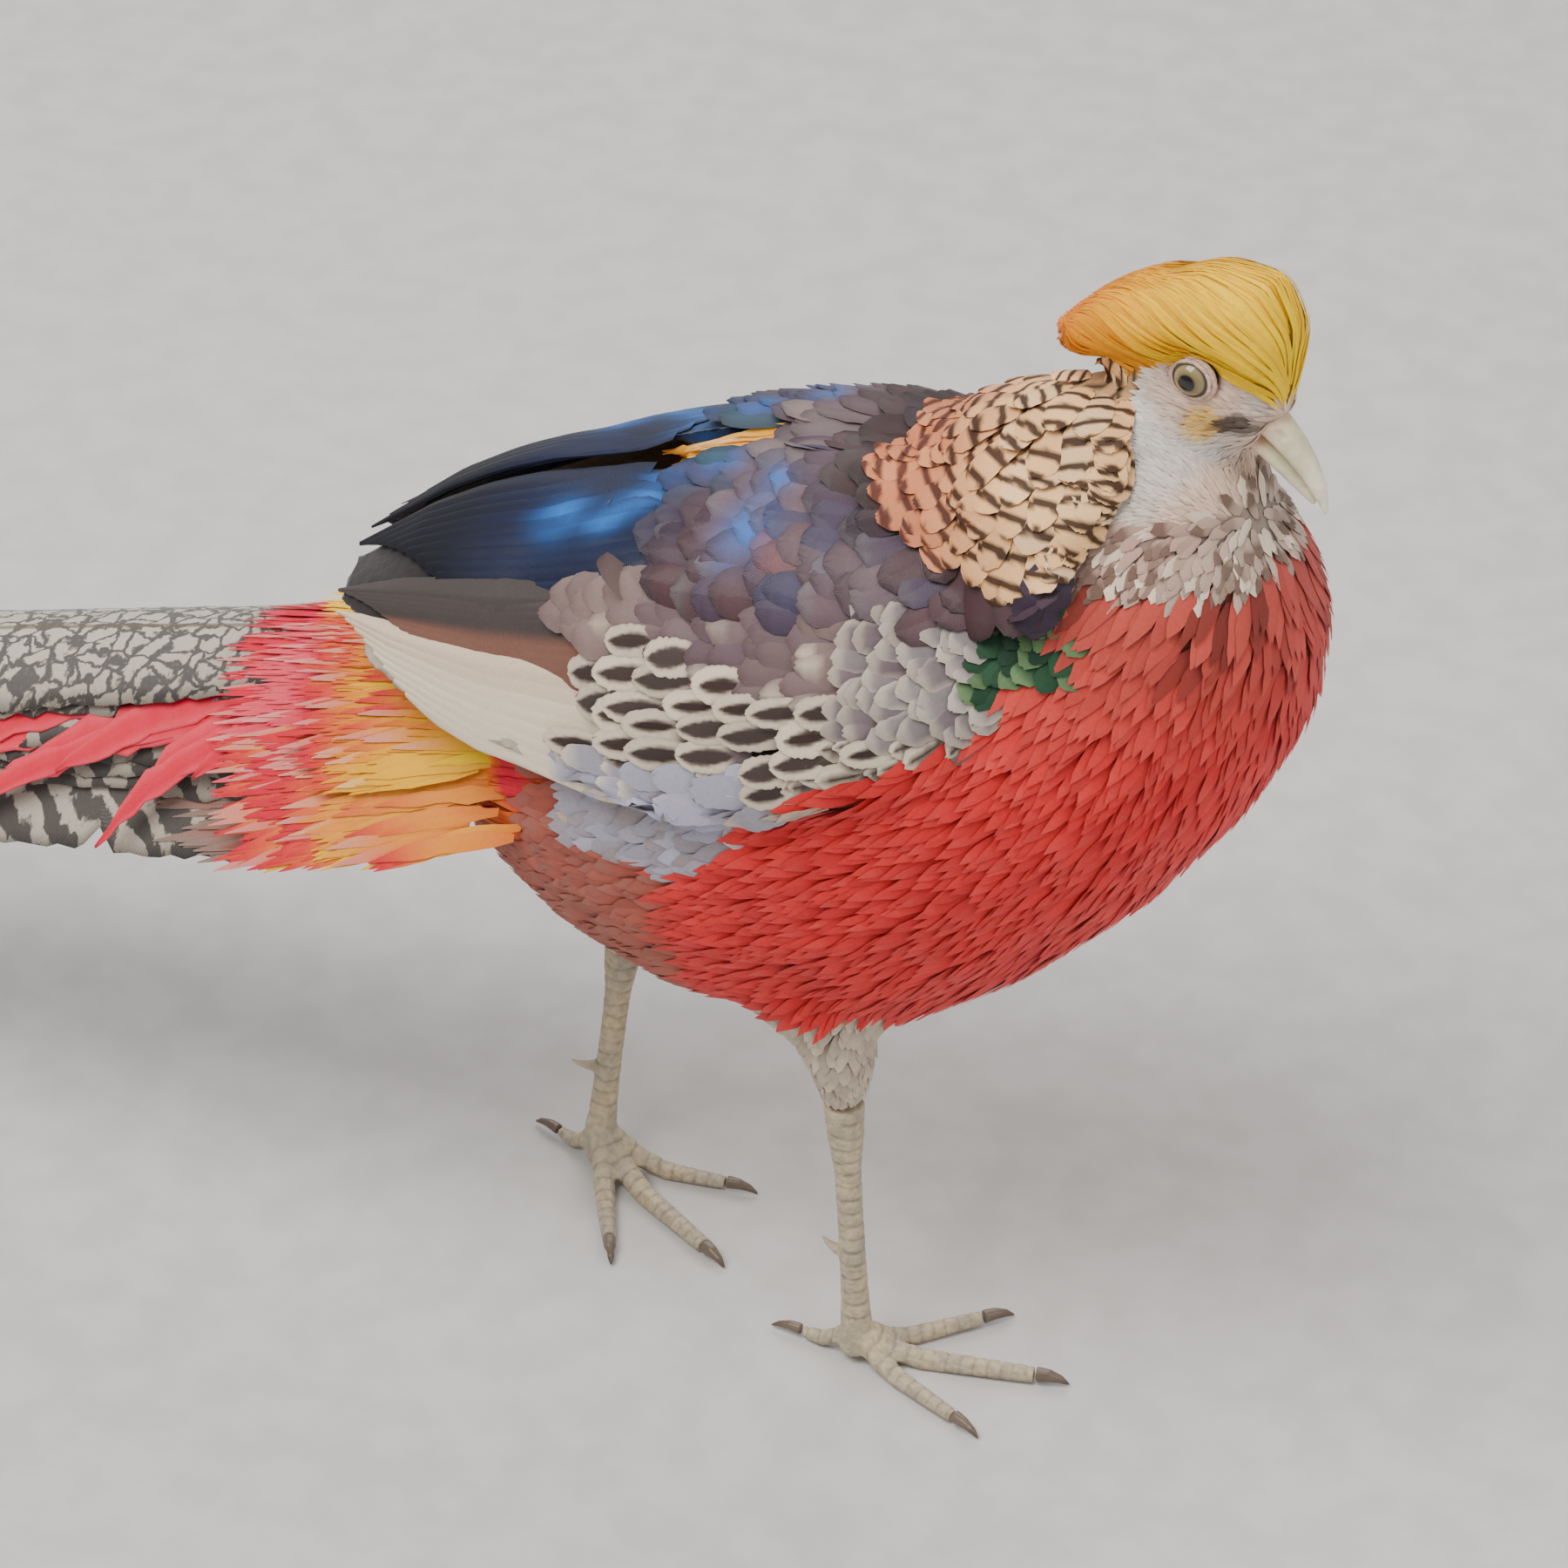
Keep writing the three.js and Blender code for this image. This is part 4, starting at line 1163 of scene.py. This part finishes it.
def tail_feather(name, length, width, offset, layer, kind, slot, start=TAIL_START, shape=LONG_BLADE,
                 paint=tail_paint, fray=0.08, spread=0.0):
    """One long vane on the tail's roof, with a raised shaft and a ragged rim."""
    columns = 13
    strips = max(1, round(math.sqrt(length / width)))
    rows = strips * math.ceil(int(length / 4) / strips) + 1
    t = np.linspace(0, 1, rows)
    s = np.linspace(-1, 1, columns)[None]
    distance = start + length * t
    half = width / 2 * np.interp(t, *shape)
    middle = offset * (1 - TAIL_FLATTEN * distance / RIDGE_LENGTH) + np.sign(offset) * spread * t ** 2
    if offset:
        middle = np.sign(offset) * np.maximum(np.abs(middle), half * 0.86)
    rim = 1 + fray * (rng.random((rows, 2)) - 0.6)
    rim = rim * (1 - 0.3 * (rng.random((rows, 2)) > 0.965))
    out = half[:, None] * s
    y = middle[:, None] + out * np.where(s < 0, rim[:, :1], rim[:, 1:])
    shaft = 0.55 * (1 - t)[:, None] * np.clip(1 - np.abs(s) * 6, 0, 1)
    wave = 0.5 * np.sin(t * 23 + layer * 2)[:, None] * smooth(0.4, 1, np.abs(s))
    grid = roof(np.broadcast_to(distance[:, None], y.shape), y, layer, shaft + wave)
    grid[..., 0] -= 1.5 * np.abs(s) * smooth(0, 0.1, t)[:, None] * (rng.random((rows, 1)) - 0.2)
    along, across = vane_axes((1, *y.shape))
    if kind in ("marbled", "barred"):
        vane = np.stack([out[None] / 10, along * length / 10 + layer * 3.7], -1)
    else:
        vane = np.stack([across * 0.5 + 0.5, along * length / 10], -1)
    bake = strip_map(rows, columns, strips)
    colours = paint(along, across, kind)
    made = sheet_mesh(name, grid[None], vane, bake, colours, FEATHER[kind], slot)
    wall = made.modifiers.new("wall", "SOLIDIFY")
    wall.thickness = VANE_WALL
    wall.offset = -1
    return made


for layer, name in enumerate(("right", "left")):
    made = tail_feather("feathers_tail_centre_" + name, TAIL_LENGTH, TAIL_WIDTH, 0, layer, "marbled", "tail")
    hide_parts("tail_centre_" + name)

# Side feathers, as their share of the tail's length, offset and width. The last pair has no solid.
SIDE_FEATHERS = [(0.76, 15, 30), (0.56, 17, 29), (0.4, 19, 27), (0.3, 22, 25), (0.38, 31, 25)]
for i, (share, offset, width) in enumerate(SIDE_FEATHERS):
    for name, side in SIDES:
        node_name = f"tail_side_{i + 1}_{name}"
        made = tail_feather(
            "feathers_" + node_name, TAIL_LENGTH * share, width, side * offset, 2.4 + i, "barred", "tail"
        )
        if node_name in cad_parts:
            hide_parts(node_name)


def plume_paint(t, s, kind):
    pale = 0.5 * smooth(0.3, 1, np.abs(s)) + 0.12 * np.sin(t * 40) ** 2
    return mix("plume", "deep_red", smooth(0.3, 0.0, t) * 0.6, "plume_pale", pale)


# Scarlet plumes: the one in the solids, and two narrower ones beside it. Rows are start, length, offset,
# width and layer. Each of the three is shorter than the first, and set to one side of it.
PLUME_BLADE = ([0, 0.2, 0.5, 0.85, 1], [0.1, 0.5, 1, 0.7, 0.05])
PLUMES = [(34, 84, 20, 12, 0.8), (50, 108, 19, 12, 1.6), (66, 146, 20, 10, 2.4)]
PLUME_PARTS = [(0, 0), (16, -5), (28, 3)]
for i, (start, length, offset, width, layer) in enumerate(PLUMES):
    for name, side in SIDES:
        for j, (shorter, aside) in enumerate(PLUME_PARTS):
            made = tail_feather(
                f"feathers_plume_{i + 1}_{name}_{j}", length - shorter, width * (1 - 0.22 * j),
                side * (offset + aside), layer - 0.5 * j, "silk", "plume", start=start, shape=PLUME_BLADE,
                paint=plume_paint, fray=0.3, spread=17 + 4 * j,
            )
            if j == 0:
                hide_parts(f"tail_plume_{i + 1}_{name}")


# Tail coverts: many narrow feathers on the roof. Rows are name, solid, slot, first and last root, half width
# of the band (or less than 0 for its outer part only), length, width, layer, count and colours.
TAIL_COVERTS = [
    ("under", None, "vent", 4, 70, 36, 40, 3, 7.0, 700, ("maroon", "chestnut", "grey_brown")),
    ("red", "upper_1", "plume", 24, 60, 33, 34, 2.6, 0.6, 900, ("plume", "plume", "plume_pale")),
    ("gold", "upper_2", "rump", 6, 42, 35, 30, 2.4, -2.0, 1300, ("gold", "lemon", "plume")),
    ("side", None, "rump", 6, 56, -42, 36, 2.4, 0.2, 900, ("rump_orange", "gold", "plume")),
]


def tail_coverts(name, replaced, slot, first, last, band, length, width, layer, count, colours):
    count = count
    rows, columns = 10, 5
    t = np.linspace(0, 1, rows)[None, :, None]
    s = np.linspace(-1, 1, columns)[None, None, :]
    root = first + (last - first) * np.sqrt(rng.random(count))[:, None, None]
    place = band * (2 * rng.random(count) - 1)[:, None, None]
    if band < 0:
        place = np.sign(place) * (0.6 * -band + 0.4 * np.abs(place))
    r = rng.random((count, 1, 1))
    half = width / 2 * np.interp(t, [0, 0.3, 0.7, 1], [0.5, 1, 0.7, 0.06]) * (0.8 + 0.4 * r)
    ragged = 1 + 0.4 * (rng.random((count, rows, 1)) - 0.6)
    y = place + place * 0.16 * t + half * s * ragged
    distance = root + length * (0.8 + 0.4 * r) * t + 0 * s
    level = layer - 1.6 * (last - root) / (last - first) - 0.5 * t
    grid = roof(distance, y, level, 0.9 * r - 0.1 * half * s ** 2)
    root_place = grid[:, 0, columns // 2]
    along, across = vane_axes(y.shape)
    deep, mid, tip = colours
    patch = (cloud(root_place, 15, 2) + 0.5 * r[:, 0, 0])[:, None, None]
    vivid = mix(deep, mid, 0.3 + along, tip, smooth(0.35, 1, along) * smooth(0, 0.6, patch))
    if slot != "vent":
        crimson = smooth(0, 0.5, cloud(root_place, 19, 6) + 0.8 * (r[:, 0, 0] - 0.5))[:, None, None]
        crimson = crimson * (0.35 + 0.65 * smooth(24, 50, root)) * (0.55 + 0.45 * along)
        # Cream at the tips of a few coverts: painted highlight.
        vivid = mix(vivid, "plume", crimson, "cream", (r > 0.94) * smooth(0.5, 1, along) * 0.35)
    vane = np.stack([across * 0.5 + 0.5, along * length / 10], -1)
    made = sheet_mesh(
        "feathers_covert_" + name, grid, vane, cell_map(along, across, 0.1), vivid, FEATHER["silk"], slot
    )
    if replaced:
        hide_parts("tail_covert_" + replaced)


for row in TAIL_COVERTS:
    tail_coverts(*row)


# Head: eyes, lids and bill.
def in_head(ahead, left, up):
    return HEAD_AT + ahead * FORWARD + left * LEFT + up * UP


def turned_primitive(add, centre, outward, flatten=1.0, **sizes):
    """Adds a primitive whose pole or hole points outward. Its place is in its mesh, and it stays unturned."""
    add(**sizes)
    made = bpy.context.active_object
    turn = Vector((0, 0, 1)).rotation_difference(Vector(outward))
    places = read(made.data.vertices, "co", 3) * [1, 1, flatten]
    made.data.vertices.foreach_set("co", (places @ np.array(turn.to_matrix()).T + to_row(centre)).ravel())
    made.data.update()
    bpy.ops.object.shade_smooth()
    made.select_set(False)
    return made


def eye_material():
    m, shader = new_material("eye", 0.08, 0, 0.3, 0.6)
    uv = map_of(m, "UVMap")
    angle = math_node(m, "SUBTRACT", 1.0, split(m, uv)[1])
    rays = math_node(m, "SUBTRACT", noise(m, uv, 26.0, 4.0), 0.5)
    wavy = math_node(m, "ADD", angle, scaled(m, rays, 0.012))
    stops = [
        (0.0, "pupil"), (0.125, "pupil"), (0.14, "iris_dark"), (0.17, "iris"),
        (0.25, "iris_pale"), (0.29, "iris"), (0.315, "iris_dark"), (0.35, "pupil"),
    ]
    iris = ramp_node(m, wavy, [(position, PAINT[tone]) for position, tone in stops], "LINEAR")
    m.node_tree.links.new(iris, shader.inputs["Base Color"])
    return m


def fleshy_material(name, low, high, scale, roughness=0.55, depth=0.0004):
    """Bare skin, horn or scale: two tones in noise on object coordinates, over the piece's own colours."""
    m, shader = new_material(name, roughness, 0.05, 0.45)
    place = object_place(m)
    pits = node(m, "ShaderNodeTexVoronoi", {"Vector": place, "Scale": scale * 1.6}).outputs["Distance"]
    tone = ramp_node(m, noise(m, place, scale, 5.0), [(0.3, (low,) * 3), (0.7, (high,) * 3)])
    return finish(m, shader, painted(m), tone, pits, 0.5, depth)


def paint_points(made, colours):
    rgba = np.ones((len(made.data.vertices), 4))
    rgba[:, :3] = np.clip(colours, 0, 1)
    made.data.color_attributes.new("Col", "FLOAT_COLOR", "POINT").data.foreach_set("color", rgba.ravel())


EYE_MATERIAL = eye_material()
BARE = fleshy_material("bare_skin", 0.8, 1.1, 900)
HORN = fleshy_material("horn", 0.85, 1.08, 260, 0.32, 0.0001)
SCUTE = fleshy_material("scutes", 0.78, 1.1, 520, 0.5)

# Rings round the eye: how far out, radius, thickness and colour.
LID_FLATTEN = 0.8
LID_SQUINT = 0.1
LIDS = [(2.75, 4.05, 0.35, "lid_rim"), (2.2, 4.6, 0.6, "lid"), (1.3, 5.3, 0.8, "lid")]

for name, side in SIDES:
    outward = unit(side * LEFT + 0.10 * FORWARD + 0.08 * UP)
    centre = EYES[name]
    ball = turned_primitive(
        bpy.ops.mesh.primitive_uv_sphere_add, centre, outward, segments=64, ring_count=40,
        radius=EYEBALL_RADIUS / 1000,
    )
    ball.name = "eyeball_" + name
    declare(ball, "eye", "eye_" + name, material=EYE_MATERIAL)
    for j, (out, radius, thick, tone) in enumerate(LIDS):
        lid = turned_primitive(
            bpy.ops.mesh.primitive_torus_add, centre + out * outward, outward, LID_FLATTEN, major_segments=96,
            minor_segments=16, major_radius=radius / 1000, minor_radius=thick / 1000,
        )
        lid.name = f"lid_{name}_{j + 1}"
        places, normals = mesh_arrays(lid)
        wrinkle = 0.16 * cloud(places, 1.6, 8) + 0.1 * cloud(places, 0.8, 3)
        places = places - UP * (LID_SQUINT * ((places - centre) @ UP))[:, None]
        write_places(lid, places + normals * wrinkle[:, None] * (j > 0))
        paint_points(lid, mix(tone, "pink", (0.3 + 0.3 * cloud(places, 2.0, 1)) * (j > 0)))
        declare(lid, "face", material=BARE)


# The nostril's place in the head, and how it is stretched ahead and flattened.
NOSTRIL = (21.0, 4.0, 0.0)
NOSTRIL_SHAPE = (0.5, 1, 1.25)


def nostril(places, outer, inner):
    """How much each place belongs to a nostril, from 0 at the outer distance to 1 at the inner one."""
    share = 0
    for side in (-1, 1):
        centre = in_head(NOSTRIL[0], side * NOSTRIL[1], NOSTRIL[2])
        spot = (places - centre) @ np.stack([FORWARD, LEFT, UP], 1)
        share = share + smooth(outer, inner, np.linalg.norm(spot * NOSTRIL_SHAPE, axis=1))
    return share


def bill_paint(places):
    ahead = (places - HEAD_AT) @ FORWARD
    return mix(
        "bill", "bill_tip", smooth(26, 38, ahead), "pink", smooth(22, 17, ahead) * 0.6,
        # The nostrils are painted dark: painted shade in their hollows.
        "bar", nostril(places, 1.5, 0.9),
    )


for part in ("upper", "lower"):
    bill = joined_copy(f"bill_{part}_horn", ["bill_" + part], BILL_VOXEL, 4)
    places, normals = mesh_arrays(bill)
    places = places - normals * (0.7 * nostril(places, 1.6, 0.7))[:, None]
    write_places(bill, places)
    paint_points(bill, bill_paint(places))
    declare(bill, "bill", "bill_" + part, material=HORN)


# Legs: bare shanks and feet in one piece each side, with scutes in bands down the front and along the toes.
SHANK_SCUTE = 4.2
TOE_SCUTE = 3.4


def scutes(places, limb):
    """How far each place lies from a border between scutes, from 0 on a border to 1."""
    hock, foot = np.array(limb["hock"], float), np.array(limb["foot"], float)
    down = (places - hock) @ unit(foot - hock)
    flat = places - foot
    reach = np.linalg.norm(flat[:, :2], axis=1)
    on_shank = places[:, 2] > foot[2] + 6
    phase = np.where(on_shank, down / SHANK_SCUTE, reach / TOE_SCUTE)
    phase = phase + 0.12 * cloud(places, 5, 6)
    return np.abs(np.mod(phase, 1) - 0.5) * 2


for name, side in SIDES:
    limb = LIMBS[name]
    leg = joined_copy("leg_" + name, ["shank_" + name, "foot_" + name], LEG_VOXEL, 5)
    places, normals = mesh_arrays(leg)
    border = smooth(0.72, 0.98, scutes(places, limb)) * smooth(1, 4, limb["hock"][2] - places[:, 2])
    above = smooth(1.5, 3.5, places[:, 2])
    write_places(leg, places - normals * (0.4 * border * above)[:, None] - normals * 0.1)
    paint_points(leg, mix(
        "leg", "leg_grey", 0.4 + 0.5 * cloud(places, 9, 2), "grey_brown", smooth(3, 0.5, places[:, 2]) * 0.4,
        "brown", border * 0.4,
    ))
    declare(leg, "leg", "shank_" + name, "foot_" + name, material=SCUTE)
    for toe in ("middle", "inner", "outer", "hind"):
        source = f"claw_{toe}_{name}"
        claw = joined_copy(source + "_horn", [source], CLAW_VOXEL, 3)
        places, normals = mesh_arrays(claw)
        tip = smooth(0, 1, (places[:, 2].max() - places[:, 2]) / max(np.ptp(places[:, 2]), 1))
        paint_points(claw, mix("claw", "bar", 0.2 + 0.4 * tip))
        declare(claw, "claw", source, material=HORN)

# The skin takes the flesh's place.
declare(skin, "breast", *FLESH, material=skin_material())

# Floor, light and camera.
FLOOR_SIZE = 9
WORLD_STRENGTH = 0.52
bpy.ops.mesh.primitive_plane_add(size=FLOOR_SIZE)
floor = bpy.context.active_object
floor.name = "floor"
floor_material, floor_shader = new_material("floor", 0.85, 0, 0.2)
grain = noise(floor_material, object_place(floor_material), 60.0, 6.0)
floor_material.node_tree.links.new(
    ramp_node(floor_material, grain, [(0.35, (0.55, 0.53, 0.50)), (0.65, (0.60, 0.58, 0.55))]),
    floor_shader.inputs["Base Color"],
)
floor.data.materials.append(floor_material)

a, e = math.radians(CAMERA_AZIMUTH), math.radians(CAMERA_ELEVATION)
back = np.array([math.sin(a) * math.cos(e), -math.cos(a) * math.cos(e), math.sin(e)])
target = Vector(to_row(CAMERA_TARGET))

# Lights are placed round the target: azimuth, elevation, distance, size in m and power in W.
LIGHTS = [(-35, 62, 1.7, 1.1, 36), (75, 35, 1.9, 1.4, 12), (200, 45, 1.8, 1.2, 14)]
for i, (azimuth, elevation, distance, size, power) in enumerate(LIGHTS):
    la, le = math.radians(azimuth), math.radians(elevation)
    offset = Vector((math.sin(la) * math.cos(le), -math.cos(la) * math.cos(le), math.sin(le))) * distance
    bpy.ops.object.light_add(type="AREA", location=target + offset)
    lamp = bpy.context.active_object
    lamp.name = f"lamp_{i + 1}"
    lamp.data.size = size
    lamp.data.energy = power
    lamp.rotation_euler = (-offset).to_track_quat("-Z", "Y").to_euler()

world = bpy.data.worlds.new("studio")
world.use_nodes = True
world.node_tree.nodes["Background"].inputs["Color"].default_value = (0.93, 0.95, 1.0, 1)
world.node_tree.nodes["Background"].inputs["Strength"].default_value = WORLD_STRENGTH
bpy.context.scene.world = world

bpy.ops.object.camera_add(location=target + Vector(back) * CAMERA_DISTANCE / 1000)
camera = bpy.context.active_object
camera.rotation_euler = Vector(-back).to_track_quat("-Z", "Y").to_euler()
camera.data.sensor_width = SENSOR
camera.data.lens = PIXELS_PER_MM * CAMERA_DISTANCE * SENSOR / PHOTO_PIXELS
camera.data.clip_end = 30
bpy.context.scene.camera = camera
